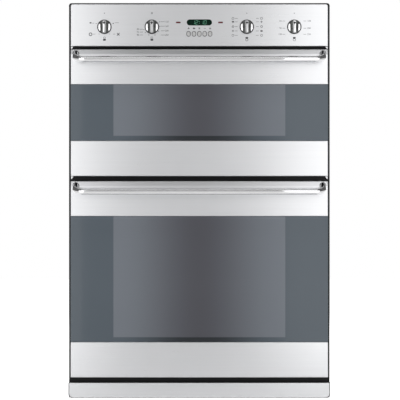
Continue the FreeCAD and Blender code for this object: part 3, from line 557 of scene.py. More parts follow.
@dataclass(frozen=True)
class HeatedTube(Finish):
    """Element tube with straw and blue heat tints on dull steel."""

    def paint(self, shader: Shader) -> bpy.types.Material:
        """Build the finish.

        Args:
            shader: the shader of a new material.

        Returns:
            The finished material.
        """
        heat = shader.noise((20.0, 20.0, 20.0), 3.0)
        scale = shader.noise((700.0, 700.0, 700.0), 3.0)
        stops = ((0.3, (0.10, 0.095, 0.10)), (0.5, (0.17, 0.14, 0.11)), (0.7, (0.08, 0.09, 0.13)))
        shader.bump(scale, 0.00004, 0.4)
        return shader.finish(Base_Color=shader.ramp(heat, stops), Metallic=0.8, Roughness=0.42 + scale * 0.2)


STEEL = BrushedSteel("brushed_steel", "brushed_steel")
SATIN = BrushedSteel("satin_steel", "stainless", (0.62, 0.62, 0.63), 0.38, 1400.0)
CHROME = Polished("chrome", "chrome")
# Darkened copy of the chrome for the knob grip's flanks: painted shade.
KNOB_FLANK_SHADE = Polished("knob_flank_shade", "chrome", (0.13, 0.135, 0.125), 0.26)
BRIGHT_WIRE = Polished("bright_wire", "wire", (0.72, 0.72, 0.73), 0.16)
ZINC = Polished("zinc_plate", "zinc", (0.52, 0.53, 0.55), 0.32)
SHEET_ALUMINIUM = Polished("aluminium", "aluminium", (0.70, 0.71, 0.73), 0.30)
# Very dark black enamel: the frame's own colour, and also painted shade at the doors' sides and round the
# bottom trim.
BLACK_ENAMEL_AND_SHADE = Enamel("black_enamel_and_shade", "enamel", (0.004, 0.004, 0.005), (0.05, 0.05, 0.06), 0.32, 0.1, 1.25)
OVEN_ENAMEL = Enamel("oven_enamel", "enamel", (0.022, 0.022, 0.026), (0.28, 0.29, 0.32), 0.20)
DOOR_ENAMEL = Enamel("door_enamel", "door_enamel", (0.030, 0.030, 0.033), (0.10, 0.10, 0.11), 0.34)
ZINC_SHEET = Galvanised("zinc_sheet", "galvanised")
WOOL = MineralWool("mineral_wool", "wool")
SEAL = WovenSeal("door_seal", "seal")
MOULDING = Moulded("black_moulding", "moulding")
GREY_PLASTIC = Moulded("grey_button", "button", (0.50, 0.50, 0.50), 0.36)
BOARD = Moulded("circuit_board", "board", (0.02, 0.12, 0.05), 0.35, 600.0)
MOTOR_PAINT = Moulded("motor_paint", "motor", (0.10, 0.10, 0.11), 0.40, 700.0, 0.4)
GLAND_RUBBER = Moulded("gland_rubber", "gland", (0.015, 0.015, 0.015), 0.62, 900.0)
INK = Moulded("panel_ink", "moulding", (0.045, 0.045, 0.05), 0.55, 2200.0)
DISPLAY = Tinted("display_glass", "display", (0.001, 0.018, 0.010), 0.0, 0.12, 1.2)
DIGITS = Tinted("display_digits", "display", (0.18, 0.50, 0.33), 0.2, 0.12, 1.2)
LAMP_RED = Tinted("lamp_red", "lamp_red", (0.19, 0.035, 0.045))
LAMP_GLASS = Tinted("lamp_glass", "lamp_glass", (0.75, 0.76, 0.72), 0.0, 0.08)
HEATED = HeatedTube("heated_tube", "element")


# ------------------------------------------------------------------ the bench

Test = Callable[[Vector, Vector], bool]
ALONG = 0.9
ACROSS = Vector((1, 0, 0))
INWARD = Vector((0, 1, 0))
OUTWARD = Vector((0, -1, 0))
UP = Vector((0, 0, 1))


@dataclass(frozen=True)
class Room:
    """A box in space, from its lowest to its highest corner, in metres."""

    low: Vector
    high: Vector

    @classmethod
    def of(cls, *nodes: str) -> "Room":
        """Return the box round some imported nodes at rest.

        Args:
            *nodes: the nodes' names.

        Returns:
            The box.
        """
        corners = [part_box(node) for node in nodes]
        low = Vector([min(pair[0][axis] for pair in corners) for axis in range(3)])
        high = Vector([max(pair[1][axis] for pair in corners) for axis in range(3)])
        return cls(low, high)

    @property
    def centre(self) -> Vector:
        """Return the middle of the box."""
        return (self.low + self.high) / 2

    @property
    def size(self) -> Vector:
        """Return the box's three lengths."""
        return self.high - self.low


class Edit:
    """Edit mode on one piece, with nothing selected at the start."""

    def __init__(self, piece: bpy.types.Object, kind: str = "FACE") -> None:
        """Name the piece and what is selected in it: VERT, EDGE or FACE."""
        self.piece = piece
        self.kind = kind

    def __enter__(self) -> "Edit":
        """Open the piece.

        Returns:
            This object.
        """
        activate(self.piece)
        bpy.ops.object.mode_set(mode="EDIT")
        bpy.ops.mesh.select_mode(type=self.kind)
        bpy.ops.mesh.select_all(action="DESELECT")
        return self

    def __exit__(self, *problem: object) -> None:
        """Close the piece."""
        bpy.ops.object.mode_set(mode="OBJECT")

    def pick(self, test: Test) -> "Edit":
        """Select what passes a test.

        Args:
            test: takes a middle, and a normal for a face or vertex or a direction for an edge.

        Returns:
            This object.
        """
        mesh = bmesh.from_edit_mesh(self.piece.data)
        if self.kind == "FACE":
            for face in mesh.faces:
                face.select_set(test(face.calc_center_median(), face.normal))
        elif self.kind == "EDGE":
            for edge in mesh.edges:
                ends = edge.verts[0].co, edge.verts[1].co
                edge.select_set(test((ends[0] + ends[1]) / 2, (ends[1] - ends[0]).normalized()))
        else:
            for vertex in mesh.verts:
                vertex.select_set(test(vertex.co, vertex.normal))
        bmesh.update_edit_mesh(self.piece.data)
        return self

    def all(self) -> "Edit":
        """Select everything."""
        bpy.ops.mesh.select_all(action="SELECT")
        return self

    def extrude(self, shift: Vector) -> "Edit":
        """Extrude the selection and move it."""
        bpy.ops.mesh.extrude_region_move(TRANSFORM_OT_translate={"value": tuple(shift)})
        return self

    def move(self, shift: Vector) -> "Edit":
        """Move the selection."""
        bpy.ops.transform.translate(value=tuple(shift))
        return self

    def scale(self, value: Sequence[float], about: Vector) -> "Edit":
        """Scale the selection about a point."""
        bpy.ops.transform.resize(value=tuple(value), center_override=tuple(about))
        return self

    def inset(self, thickness: float) -> "Edit":
        """Inset the selected faces as one region."""
        bpy.ops.mesh.inset(thickness=thickness, use_boundary=True, use_even_offset=True)
        return self

    def slice(self, point: Vector, normal: Vector) -> "Edit":
        """Cut everything along a plane and keep both sides.

        Args:
            point: a point on the plane.
            normal: the plane's normal.

        Returns:
            This object.
        """
        self.all()
        bpy.ops.mesh.bisect(plane_co=tuple(point), plane_no=tuple(normal))
        bpy.ops.mesh.select_all(action="DESELECT")
        return self

    def remove(self) -> "Edit":
        """Delete the selected faces."""
        bpy.ops.mesh.delete(type="FACE")
        return self

    def clean(self) -> "Edit":
        """Merge doubled points, then turn every face outwards.

        Returns:
            This object.
        """
        self.all()
        bpy.ops.mesh.remove_doubles(threshold=0.000005)
        bpy.ops.mesh.normals_make_consistent(inside=False)
        return self


def activate(*chosen: bpy.types.Object) -> None:
    """Select only these objects and make the first active.

    Args:
        *chosen: the objects.
    """
    bpy.ops.object.select_all(action="DESELECT")
    for one in chosen:
        one.select_set(True)
    bpy.context.view_layer.objects.active = chosen[0]


def adopt(name: str) -> bpy.types.Object:
    """Name the object that was just added, put its place in its mesh, and return it.

    Args:
        name: the piece's name.

    Returns:
        The piece.
    """
    piece = bpy.context.object
    piece.name = piece.data.name = name
    activate(piece)
    bpy.ops.object.transform_apply(location=True, rotation=True, scale=True)
    return piece


def block(name: str, low: Sequence[float], high: Sequence[float]) -> bpy.types.Object:
    """Add a block between two corners, as a start for shaping.

    Args:
        name: the block's name.
        low: its lowest corner.
        high: its highest corner.

    Returns:
        The block.
    """
    low, high = Vector(low), Vector(high)
    bpy.ops.object.select_all(action="DESELECT")
    bpy.ops.mesh.primitive_cube_add(size=1, location=(low + high) / 2, scale=high - low)
    return adopt(name)


def turned(name: str, centre: Vector, facing: Vector, profile: Sequence[tuple[float, float]],
           sides: int = 48) -> bpy.types.Object:
    """Turn a piece about a line.

    Args:
        name: the piece's name.
        centre: a point on the line.
        facing: the line's direction.
        profile: distances along the line in mm, each with the radius there in mm.
        sides: flats round the circle.

    Returns:
        The piece, closed at both ends.
    """
    start, radius = profile[0]
    turn = facing.to_track_quat("Z", "Y").to_euler()
    bpy.ops.object.select_all(action="DESELECT")
    bpy.ops.mesh.primitive_circle_add(vertices=sides, radius=radius * MM, fill_type="NGON",
                                      location=centre + facing * start * MM, rotation=turn)
    piece = adopt(name)
    with Edit(piece) as edit:
        edit.all()
        for (back, wide), (along, narrow) in zip(profile, profile[1:]):
            edit.extrude(facing * (along - back) * MM)
            edit.scale((narrow / wide,) * 3, centre + facing * along * MM)
        edit.clean()
    return piece


def stadium(name: str, centre: Vector, width: float, height: float, depth: float,
            sides: int = 32) -> bpy.types.Object:
    """Add an upright slab with round ends, longer across or longer upwards, its back at centre.

    Args:
        name: the slab's name.
        centre: the middle of its back.
        width: its width in metres.
        height: its height in metres.
        depth: how far it stands out to the front, in metres.
        sides: flats round its two ends.

    Returns:
        The slab.
    """
    radius = min(width, height) / 2
    bpy.ops.object.select_all(action="DESELECT")
    bpy.ops.mesh.primitive_circle_add(vertices=sides, radius=radius, fill_type="NGON", location=centre,
                                      rotation=(math.pi / 2, 0, 0))
    piece = adopt(name)
    axis, reach = (0, width / 2 - radius) if width > height else (2, height / 2 - radius)
    along = ACROSS if axis == 0 else UP
    with Edit(piece, "VERT") as edit:
        edit.pick(lambda at, normal: at[axis] > centre[axis] + 0.01 * radius).move(along * reach)
        edit.pick(lambda at, normal: at[axis] < centre[axis] - 0.01 * radius).move(along * -reach)
    with Edit(piece) as edit:
        edit.all().extrude(OUTWARD * depth).clean()
    return piece


def modify(piece: bpy.types.Object, kind: str, **settings: object) -> bpy.types.Object:
    """Add a modifier, apply it, and return the piece.

    Args:
        piece: the piece.
        kind: the modifier's type.
        **settings: its properties.

    Returns:
        The piece.
    """
    modifier = piece.modifiers.new(kind.lower(), kind)
    for name, value in settings.items():
        setattr(modifier, name, value)
    activate(piece)
    bpy.ops.object.modifier_apply(modifier=modifier.name)
    return piece


def rounded(piece: bpy.types.Object, radius: float, segments: int = 3,
            corner: float = 30.0) -> bpy.types.Object:
    """Round every edge that turns by more than a number of degrees.

    Args:
        piece: the piece.
        radius: the rounding in mm.
        segments: how many flats make up the rounding.
        corner: the least turn that is rounded, in degrees.

    Returns:
        The piece.
    """
    modify(piece, "BEVEL", width=radius * MM, segments=segments, limit_method="ANGLE",
           angle_limit=math.radians(corner), use_clamp_overlap=True)
    return smooth(piece)


def trimmed(piece: bpy.types.Object, radius: float, segments: int,
            chosen: Callable[[Vector], bool] = lambda at: True) -> bpy.types.Object:
    """Round the corners of a plate that faces the front: its edges that run front to back.

    Args:
        piece: the plate.
        radius: the rounding in mm.
        segments: how many flats make up the rounding.
        chosen: takes the middle of an edge, and says whether that edge is rounded.

    Returns:
        The piece.
    """
    with Edit(piece, "EDGE") as edit:
        edit.pick(lambda at, along: abs(along.y) > ALONG and chosen(at))
        bpy.ops.mesh.bevel(offset=radius * MM, segments=segments, affect="EDGES")
    return piece


def opened(piece: bpy.types.Object) -> bpy.types.Object:
    """Take off a block's back, so that it is the outside of a folded sheet.

    Args:
        piece: the block.

    Returns:
        The piece.
    """
    with Edit(piece) as edit:
        edit.pick(lambda at, normal: normal.y > ALONG).remove()
    return piece


def smooth(piece: bpy.types.Object, corner: float = 35.0) -> bpy.types.Object:
    """Shade a piece smooth, but for edges that turn by more than a number of degrees.

    Args:
        piece: the piece.
        corner: the least turn that stays sharp, in degrees.

    Returns:
        The piece.
    """
    activate(piece)
    bpy.ops.object.shade_smooth_by_angle(angle=math.radians(corner))
    return piece


def sheet_metal(piece: bpy.types.Object, thickness: float) -> bpy.types.Object:
    """Give an open shell its sheet thickness in mm, on the inside."""
    return modify(piece, "SOLIDIFY", thickness=thickness * MM, offset=-1.0, use_even_offset=True)


def cut(piece: bpy.types.Object, *tools: bpy.types.Object) -> bpy.types.Object:
    """Take some tools' shapes out of a piece and throw the tools away.

    Args:
        piece: the piece.
        *tools: the tools.

    Returns:
        The piece.
    """
    tool = joined("tool", *tools)
    modify(piece, "BOOLEAN", operation="DIFFERENCE", solver="EXACT", use_self=True, object=tool)
    bpy.data.objects.remove(tool)
    return piece


def joined(name: str, *parts: bpy.types.Object) -> bpy.types.Object:
    """Join several meshes in one object.

    Args:
        name: the joined object's name.
        *parts: the meshes.

    Returns:
        The joined object.
    """
    activate(*parts)
    if len(parts) > 1:
        bpy.ops.object.join()
    parts[0].name = parts[0].data.name = name
    return parts[0]


def twin(piece: bpy.types.Object, shift: Vector, turn: float = 0.0, about: Vector = UP,
         centre: Vector = Vector()) -> bpy.types.Object:
    """Copy a piece with its own mesh.

    Args:
        piece: what is copied.
        shift: how far the copy moves.
        turn: how far it turns first, in degrees.
        about: the line it turns about.
        centre: a point on that line.

    Returns:
        The copy.
    """
    activate(piece)
    bpy.ops.object.duplicate(linked=False)
    copy = bpy.context.object
    around = Matrix.Translation(centre) @ Matrix.Rotation(math.radians(turn), 4, about)
    copy.matrix_world = Matrix.Translation(shift) @ around @ Matrix.Translation(-centre)
    bpy.ops.object.transform_apply(location=True, rotation=True, scale=True)
    return copy


def copied(name: str, first: bpy.types.Object, places: Iterable[Vector]) -> bpy.types.Object:
    """Set a copy of a piece at each place, join the copies, and throw the first one away.

    Args:
        name: the joined piece's name.
        first: the piece, made at the origin.
        places: how far each copy moves from there.

    Returns:
        The joined copies.
    """
    copies = [twin(first, place) for place in places]
    bpy.data.objects.remove(first)
    return joined(name, *copies)


def mirrored(piece: bpy.types.Object, name: str) -> bpy.types.Object:
    """Copy a piece to the other side of the oven's middle.

    Args:
        piece: what is copied.
        name: the copy's name.

    Returns:
        The copy.
    """
    activate(piece)
    bpy.ops.object.duplicate(linked=False)
    copy = bpy.context.object
    copy.name = copy.data.name = name
    copy.scale.x = -1
    bpy.ops.object.transform_apply(location=True, rotation=True, scale=True)
    with Edit(copy) as edit:
        edit.clean()
    return copy


def dressed(piece: bpy.types.Object, finish: Finish) -> bpy.types.Object:
    """Give a whole piece one finish.

    Args:
        piece: the piece.
        finish: its finish.

    Returns:
        The piece.
    """
    piece.data.materials.clear()
    piece.data.materials.append(finish.material())
    return piece


def fitted(piece: bpy.types.Object, body: str, finish: Finish, *nodes: str,
           name: str = "") -> bpy.types.Object:
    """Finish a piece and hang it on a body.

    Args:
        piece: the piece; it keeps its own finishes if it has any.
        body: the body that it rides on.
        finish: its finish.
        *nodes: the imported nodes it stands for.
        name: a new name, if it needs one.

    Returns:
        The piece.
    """
    if name:
        piece.name = piece.data.name = name
    if not piece.data.materials:
        dressed(piece, finish)
    modify(piece, "WEIGHTED_NORMAL", keep_sharp=True)
    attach(piece, body)
    if nodes:
        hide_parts(*nodes)
    LOG.info("%s rides on %s, %d faces", piece.name, body, len(piece.data.polygons))
    return piece


# ------------------------------------------------------------------ the studio

@dataclass
class Studio:
    """Pale floor, soft lights and a level camera square to the doors."""

    distance: float = 6.0
    film: float = 36.0
    sight: float = 60.0
    view_width: float = 0.910
    view_aim: tuple[float, float] = (0.0015, 0.002)
    side_edges: tuple[float, float] = (0.31, 0.225)
    side_width: float = 1.1
    side_height: float = 2.0
    side_gap: float = 0.95
    side_power: tuple[float, float] = (7.6, 7.2)
    top_gap: float = 0.85
    top_rise: float = 1.35
    top_size: tuple[float, float] = (1.8, 0.35)
    top_power: float = 4.5
    screen_gap: float = 1.4
    screen_rise: float = 2.2
    screen_size: tuple[float, float] = (7.0, 4.4)
    screen_power: float = 50.0
    back_gap: float = 2.9
    back_rise: float = 2.0
    back_size: tuple[float, float] = (0.44, 1.2)
    back_power: float = 60.0
    sky: float = 0.11
    floor_glow: float = 0.40
    floor_radius: float = 9.0
    floor_drop: float = 0.0006
    floor_roughness: float = 0.6

    def floor(self) -> None:
        """Lay a wide pale floor whose tone drifts a little."""
        bpy.ops.object.select_all(action="DESELECT")
        bpy.ops.mesh.primitive_circle_add(vertices=64, radius=self.floor_radius, fill_type="NGON",
                                          location=(0, 0, -self.floor_drop))
        floor = adopt("floor")
        shader = Shader("pale_floor")
        tone = shader.mix(shader.noise((2.0, 2.0, 2.0)), (0.93, 0.93, 0.93), (0.97, 0.97, 0.97))
        surface = shader.finish(Base_Color=tone, Roughness=self.floor_roughness,
                                Emission_Color=(1.0, 1.0, 1.0), Emission_Strength=1.0)
        nodes = shader.tree.nodes
        plain = shader.node("ShaderNodeBsdfPrincipled", {}, {
            "Base Color": tone, "Roughness": self.floor_roughness,
            "Emission Color": (1.0, 1.0, 1.0, 1.0), "Emission Strength": self.floor_glow})
        path = shader.node("ShaderNodeLightPath", {}, {})
        both = shader.node("ShaderNodeMixShader", {}, {
            0: shader.out(path, "Is Camera Ray"), 1: shader.out(plain), 2: shader.out(shader.surface)})
        shader.feed(nodes["Material Output"].inputs["Surface"], shader.out(both))
        floor.data.materials.append(surface)
        floor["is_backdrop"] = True

    def world(self) -> None:
        """Light the scene softly from all round, in front of a plain white ground."""
        world = bpy.data.worlds.new("soft_white")
        bpy.context.scene.world = world
        world.use_nodes = True
        nodes, links = world.node_tree.nodes, world.node_tree.links
        path = nodes.new("ShaderNodeLightPath")
        strength = nodes.new("ShaderNodeMapRange")
        strength.inputs["To Min"].default_value = self.sky
        strength.inputs["To Max"].default_value = 1.0
        links.new(path.outputs["Is Camera Ray"], strength.inputs["Value"])
        links.new(strength.outputs[0], nodes["Background"].inputs["Strength"])
        nodes["Background"].inputs["Color"].default_value = (1.0, 1.0, 1.0, 1.0)

    def light(self, name: str, place: Vector, aim: Vector, size: tuple[float, float], power: float) -> None:
        """Hang one soft rectangular light.

        Args:
            name: the light's name.
            place: where its middle is.
            aim: the point it faces.
            size: its width and height.
            power: its power in watts.
        """
        data = bpy.data.lights.new(name, "AREA")
        data.shape = "RECTANGLE"
        data.size, data.size_y = size
        data.energy = power
        lamp = bpy.data.objects.new(name, data)
        lamp.location = place
        lamp.rotation_euler = (aim - place).to_track_quat("-Z", "Y").to_euler()
        bpy.context.scene.collection.objects.link(lamp)

    def lights(self, front: Room) -> None:
        """Stand a tall light at each side of the doors and hang a broad one above.

        Args:
            front: the box whose near side is the doors' face.
        """
        middle = front.centre.z
        for name, side, edge, power in zip(("left", "right"), (-1, 1), self.side_edges, self.side_power):
            place = Vector((side * (edge + self.side_width / 2), front.low.y - self.side_gap, middle))
            size = (self.side_width, self.side_height)
            self.light("side_light_" + name, place, place + INWARD, size, power)
        top = Vector((0, front.low.y - self.top_gap, front.high.z + self.top_rise))
        self.light("top_light", top, front.centre, self.top_size, self.top_power)
        screen = Vector((0, front.low.y - self.distance - self.screen_gap, self.screen_rise))
        self.light("front_screen", screen, screen + INWARD, self.screen_size, self.screen_power)
        back = Vector((0, front.high.y + self.back_gap, self.back_rise))
        self.light("back_light", back, front.centre, self.back_size, self.back_power)

    def camera(self, front: Room) -> None:
        """Stand a long-lens camera level with the middle of the doors.

        Args:
            front: the box whose near side is the doors' face.
        """
        data = bpy.data.cameras.new("camera")
        data.sensor_width = self.film
        data.lens = self.film * self.distance / self.view_width
        data.clip_end = self.sight
        camera = bpy.data.objects.new("camera", data)
        aside, rise = self.view_aim
        camera.location = (front.centre.x + aside, front.low.y - self.distance, front.centre.z + rise)
        camera.rotation_euler = (math.pi / 2, 0, 0)
        bpy.context.scene.collection.objects.link(camera)
        bpy.context.scene.camera = camera

    def build(self) -> None:
        """Set up the whole studio."""
        doors = Room.of("upper_door_upper_rail", "lower_door_lower_rail")
        whole = Room(Vector(CAD_BOX[0]), Vector(CAD_BOX[1]))
        front = Room(Vector((whole.low.x, doors.low.y, whole.low.z)), whole.high)
        bpy.context.scene.view_settings.view_transform = "Standard"
        self.floor()
        self.world()
        self.lights(front)
        self.camera(front)
        LOG.info("studio set")


# ------------------------------------------------------------------ what stays as packed

PACKED_FINISHES = {finish.slot: finish for finish in (
    OVEN_ENAMEL, ZINC_SHEET, MOTOR_PAINT, SHEET_ALUMINIUM, STEEL, GREY_PLASTIC, GLAND_RUBBER, BOARD, SATIN,
    DISPLAY, HEATED, ZINC, LAMP_RED, WOOL, CHROME, DOOR_ENAMEL, SEAL, BRIGHT_WIRE, LAMP_GLASS, MOULDING)}
PACKED_FINISHES.update({"clear_glass": LAMP_GLASS, "door_glass": DISPLAY})


@dataclass
class KeptNodes:
    """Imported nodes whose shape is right, dressed by their material slot."""

    def build(self) -> None:
        """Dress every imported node."""
        for part in frame["record"]["subparts"]:
            node = frame["nodes"][part["node"]]
            finish = PACKED_FINISHES[part["material_slot"]]
            if not node.material_slots:
                node.data.materials.append(None)
            for slot in node.material_slots:
                slot.material = finish.material()
            LOG.info("%s keeps its packed shape, in %s", part["node"], finish.name)


# ------------------------------------------------------------------ doors

@dataclass
class Handle:
    """Chrome tube across a door, bent back at both ends to two collars."""

    side: str
    radius: float = 6.7
    bend: float = 20.0
    lift: float = 14.0
    sides: int = 32
    steps: int = 10

    def ring(self, foot: Vector, leg: Vector) -> bpy.types.Object:
        """Start the tube: an open circle at a foot, square to the leg.

        Args:
            foot: the circle's middle.
            leg: the way the leg runs.

        Returns:
            The circle.
        """
        bpy.ops.object.select_all(action="DESELECT")
        bpy.ops.mesh.primitive_circle_add(vertices=self.sides, radius=self.radius * MM, fill_type="NOTHING",
                                          location=foot, rotation=leg.to_track_quat("Z", "Y").to_euler())
        return adopt("%s_door_handle_tube" % self.side)

    def tube(self, foot: Vector, bar: Vector) -> bpy.types.Object:
        """Draw the tube: out along a leg, round a bend, across, round a bend, and back.

        Args:
            foot: the middle of the left foot, on the door's face.
            bar: the left corner, where the leg's line meets the bar's.

        Returns:
            The tube.
        """
        leg = (bar - foot).normalized()
        turn = self.bend * MM
        run = (bar - foot).length - turn
        axis = leg.cross(ACROSS)
        piece = self.ring(foot, leg)
        with Edit(piece, "EDGE") as edit:
            edit.all().extrude(leg * run)
            first = foot + leg * run + ACROSS * turn
            bpy.ops.mesh.spin(steps=self.steps, angle=-math.pi / 2, center=first, axis=axis)
            edit.extrude(ACROSS * (-2 * bar.x - 2 * turn))
            second = Vector((-first.x, first.y, first.z))
            bpy.ops.mesh.spin(steps=self.steps, angle=-math.pi / 2, center=second, axis=axis)
            edit.extrude(leg * -run)
            edit.clean()
        return smooth(piece, 50.0)

    def collar(self, foot: Vector) -> bpy.types.Object:
        """Turn one black collar where the tube meets the door."""
        profile = [(0, 7.4), (0.8, 7.4), (1.2, 7.2), (1.4, 6.9)]
        return dressed(smooth(turned("collar", foot, OUTWARD, profile, 40)), MOULDING)

    def build(self) -> None:
        """Make the handle."""
        node = "%s_door_handle" % self.side
        room = Room.of(node)
        face = Room.of("%s_door_upper_rail" % self.side).low.y
        reach = -room.low.x - self.radius * MM
        bar = Vector((-reach, room.low.y + self.radius * MM, room.low.z + self.radius * MM))
        foot = Vector((-reach, face, bar.z + self.lift * MM))
        tube = self.tube(foot, bar)
        dressed(tube, CHROME)
        left = self.collar(foot)
        right = twin(left, ACROSS * 2 * reach)
        fitted(joined(node + "_bar", tube, left, right), "%s_door" % self.side, CHROME, node)


@dataclass
class Door:
    """One drop-down door: two folded steel rails, dark glass, enamelled frame, inner glass, handle."""

    side: str
    sheet: float = 1.2
    fold: float = 1.8
    lean: float = 3.0
    lean_height: float = 12.5
    window: float = 195.5
    sill: float = 11.0
    glass_corner: float = 6.0
    screw: float = 3.6
    screw_shares: tuple[float, ...] = (0.12, 0.5, 0.88)

    @property
    def body(self) -> str:
        """Return the door's body."""
        return "%s_door" % self.side

    def rail(self, part: str, leaning: bool) -> None:
        """Fold one steel rail, its top leaning back if it is the door's upper rail.

        Args:
            part: the rail's name, without the door's.
            leaning: whether its top leans back.
        """
        node = "%s_door_%s" % (self.side, part)
        room = Room.of(node)
        rail = block(node, room.low, room.high)
        with Edit(rail) as edit:
            edit.slice(Vector((0, 0, room.high.z - self.lean_height * MM)), UP)
        opened(rail)
        if leaning:
            with Edit(rail, "VERT") as edit:
                edit.pick(lambda at, normal: at.y < room.low.y + MM and at.z > room.high.z - MM)
                edit.move(INWARD * self.lean * MM)
        rounded(rail, self.fold, 4, 10.0)
        sheet_metal(rail, self.sheet)
        fitted(rail, self.body, STEEL, node, name=node + "_steel")

    def outer_glass(self) -> None:
        """Grind the edges of the dark outer glass."""
        node = "%s_door_outer_glass" % self.side
        room = Room.of(node)
        finish = DoorGlass("%s_mirror_glass" % self.side, "door_glass", self.window * MM,
                           room.low.z + self.sill * MM, room.high.z)
        glass = rounded(block(node, room.low, room.high), 0.7, 2)
        fitted(glass, self.body, finish, node, name=node + "_pane")

    def inner_glass(self) -> None:
        """Round the corners and edges of the inner glass."""
        node = "%s_door_inner_glass" % self.side
        room = Room.of(node)
        finish = InnerGlass("%s_inner_glass" % self.side, "clear_glass", room.high.x, room.low.z, room.high.z)
        glass = rounded(trimmed(block(node, room.low, room.high), self.glass_corner, 5), 0.6, 2)
        fitted(glass, self.body, finish, node, name=node + "_pane")

    def frame(self) -> None:
        """Soften the folds of the enamelled inner frame and screw it on."""
        node = "%s_door_frame" % self.side
        room = Room.of(node)
        inner = Room.of("%s_door_inner_glass" % self.side)
        aside = inner.high.x + 0.5 * (room.high.x - inner.high.x)
        places = [Vector((side * aside, 0, room.low.z + share * room.size.z))
                  for side in (-1, 1) for share in self.screw_shares]
        fitted(refined(node, 0.5), self.body, DOOR_ENAMEL, node)
        screw = Screw(self.screw).build(Vector((0, room.high.y, 0)), INWARD)
        fitted(copied(node + "_screws", screw, places), self.body, ZINC)

    def build(self) -> None:
        """Make the door."""
        self.rail("upper_rail", True)
        self.rail("lower_rail", False)
        self.outer_glass()
        self.inner_glass()
        self.frame()
        Handle(self.side).build()


@dataclass
class Screw:
    """Pan-head screw with a cross recess."""

    radius: float = 3.4
    height: float = 1.5

    def build(self, seat: Vector, facing: Vector) -> bpy.types.Object:
        """Turn the head and sink the cross.

        Args:
            seat: where the head meets the sheet.
            facing: the way the head faces.

        Returns:
            The head.
        """
        full = self.radius
        profile = [(0, full), (0.5 * self.height, full), (0.85 * self.height, 0.85 * full),
                   (self.height, 0.55 * full)]
        head = turned("screw", seat, facing, profile, 16)
        side = UP if abs(facing.z) < 0.5 else ACROSS
        other = facing.cross(side)
        reach = facing * self.height * MM
        tools = []
        for long, short in ((side, other), (other, side)):
            half = long * 0.58 * full * MM + short * 0.12 * full * MM
            low = seat + reach * 0.45 - half
            high = seat + reach * 1.3 + half
            corners = [Vector(map(pick, low, high)) for pick in (min, max)]
            tools.append(block("slot", *corners))
        cut(head, *tools)
        dressed(head, ZINC)
        return smooth(head, 30.0)


def refined(node: str, radius: float, segments: int = 2) -> bpy.types.Object:
    """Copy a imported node's mesh, merge its triangles into flats, and round its edges.

    Args:
        node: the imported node.
        radius: the rounding in mm.
        segments: how many flats make up the rounding.

    Returns:
        The new piece.
    """
    packed = frame["nodes"][node]
    piece = bpy.data.objects.new(node + "_shape", packed.data.copy())
    piece.data.name = piece.name
    bpy.context.scene.collection.objects.link(piece)
    piece.data.materials.clear()
    with Edit(piece) as edit:
        edit.all()
        bpy.ops.mesh.remove_doubles(threshold=0.00001)
        bpy.ops.mesh.dissolve_limited(angle_limit=math.radians(1.0))
        edit.clean()
    return rounded(piece, radius, segments)


# ------------------------------------------------------------------ control panel

class Mark(Enum):
    """Shapes printed round the knobs and under the display."""

    DASH = "dash"
    DOT = "dot"
    RING = "ring"
    CROSS = "cross"
    SQUARE = "square"
    BLOCK = "block"
    PLUS = "plus"
    PEAK = "peak"


@dataclass
class Print:
    """Ink marks that stand a hair's breadth proud of the panel."""

    face: float
    proud: float = 0.12
    sunk: float = 0.05
    dash: float = 0.7

    def slab(self, centre: Vector, width: float, height: float) -> bpy.types.Object:
        """Print one rectangle with its corners taken off.

        Args:
            centre: its middle, on the panel's face.
            width: its width in mm.
            height: its height in mm.

        Returns:
            The mark.
        """
        half = Vector((width / 2 * MM, 0, height / 2 * MM))
        low = centre - half - INWARD * self.proud * MM
        slab = block("mark", low, centre + half + INWARD * self.sunk * MM)
        return trimmed(slab, 0.3 * min(width, height), 2)

    def disc(self, centre: Vector, radius: float, hole: float, sides: int = 20) -> bpy.types.Object:
        """Print one disc, or a ring if it has a hole.

        Args:
            centre: its middle, on the panel's face.
            radius: its radius in mm.
            hole: the hole's radius in mm, or 0.
            sides: flats round the rim.

        Returns:
            The mark.
        """
        disc = turned("mark", centre, OUTWARD, [(-self.sunk, radius), (self.proud, radius)], sides)
        if hole:
            cut(disc, turned("hole", centre, OUTWARD, [(-1, hole), (1, hole)], sides))
        return disc

    def mark(self, kind: Mark, x: float, z: float, size: float) -> bpy.types.Object:
        """Print one mark.

        Args:
            kind: its shape.
            x: its middle across, in metres.
            z: its middle upwards, in metres.
            size: its width in mm.

        Returns:
            The mark.
        """
        at = Vector((x, self.face, z))
        line = 0.20 * size
        if kind is Mark.DASH:
            return self.slab(at, size, self.dash)
        if kind is Mark.DOT:
            return self.disc(at, size / 2, 0)
        if kind is Mark.RING:
            return self.disc(at, size / 2, 0.6 * size / 2)
        if kind is Mark.PEAK:
            return self.disc(at, size / 2, 0, 3)
        if kind is Mark.BLOCK:
            return self.slab(at, size, 0.62 * size)
        if kind is Mark.SQUARE:
            inner = (size / 2 - 0.8 * line) * MM
            reach = Vector((inner, MM, inner))
            return cut(self.slab(at, size, size), block("hole", at - reach, at + reach))
        arm = self.slab(at, size, line)
        other = twin(arm, Vector(), 90.0, INWARD, at)
        both = joined("mark", arm, other)
        if kind is Mark.CROSS:
            crossed = twin(both, Vector(), 45.0, INWARD, at)
            bpy.data.objects.remove(both)
            return crossed
        return both

    def words(self, text: str, x: float, z: float, size: float) -> bpy.types.Object:
        """Print a number, its middle at x and z.

        Args:
            text: the number.
            x: its middle across, in metres.
            z: its middle upwards, in metres.
            size: its height in mm.

        Returns:
            The number.
        """
        bpy.ops.object.select_all(action="DESELECT")
        bpy.ops.object.text_add(location=(0, 0, 0))
        label = bpy.context.object
        label.data.body = text
        label.data.size = size * MM
        label.data.align_x, label.data.align_y = "CENTER", "CENTER"
        label.data.extrude = self.proud / 2 * MM
        bpy.ops.object.convert(target="MESH")
        label = bpy.context.object
        label.rotation_euler = (math.pi / 2, 0, 0)
        label.location = (x, self.face - self.proud / 2 * MM, z)
        return adopt("number")


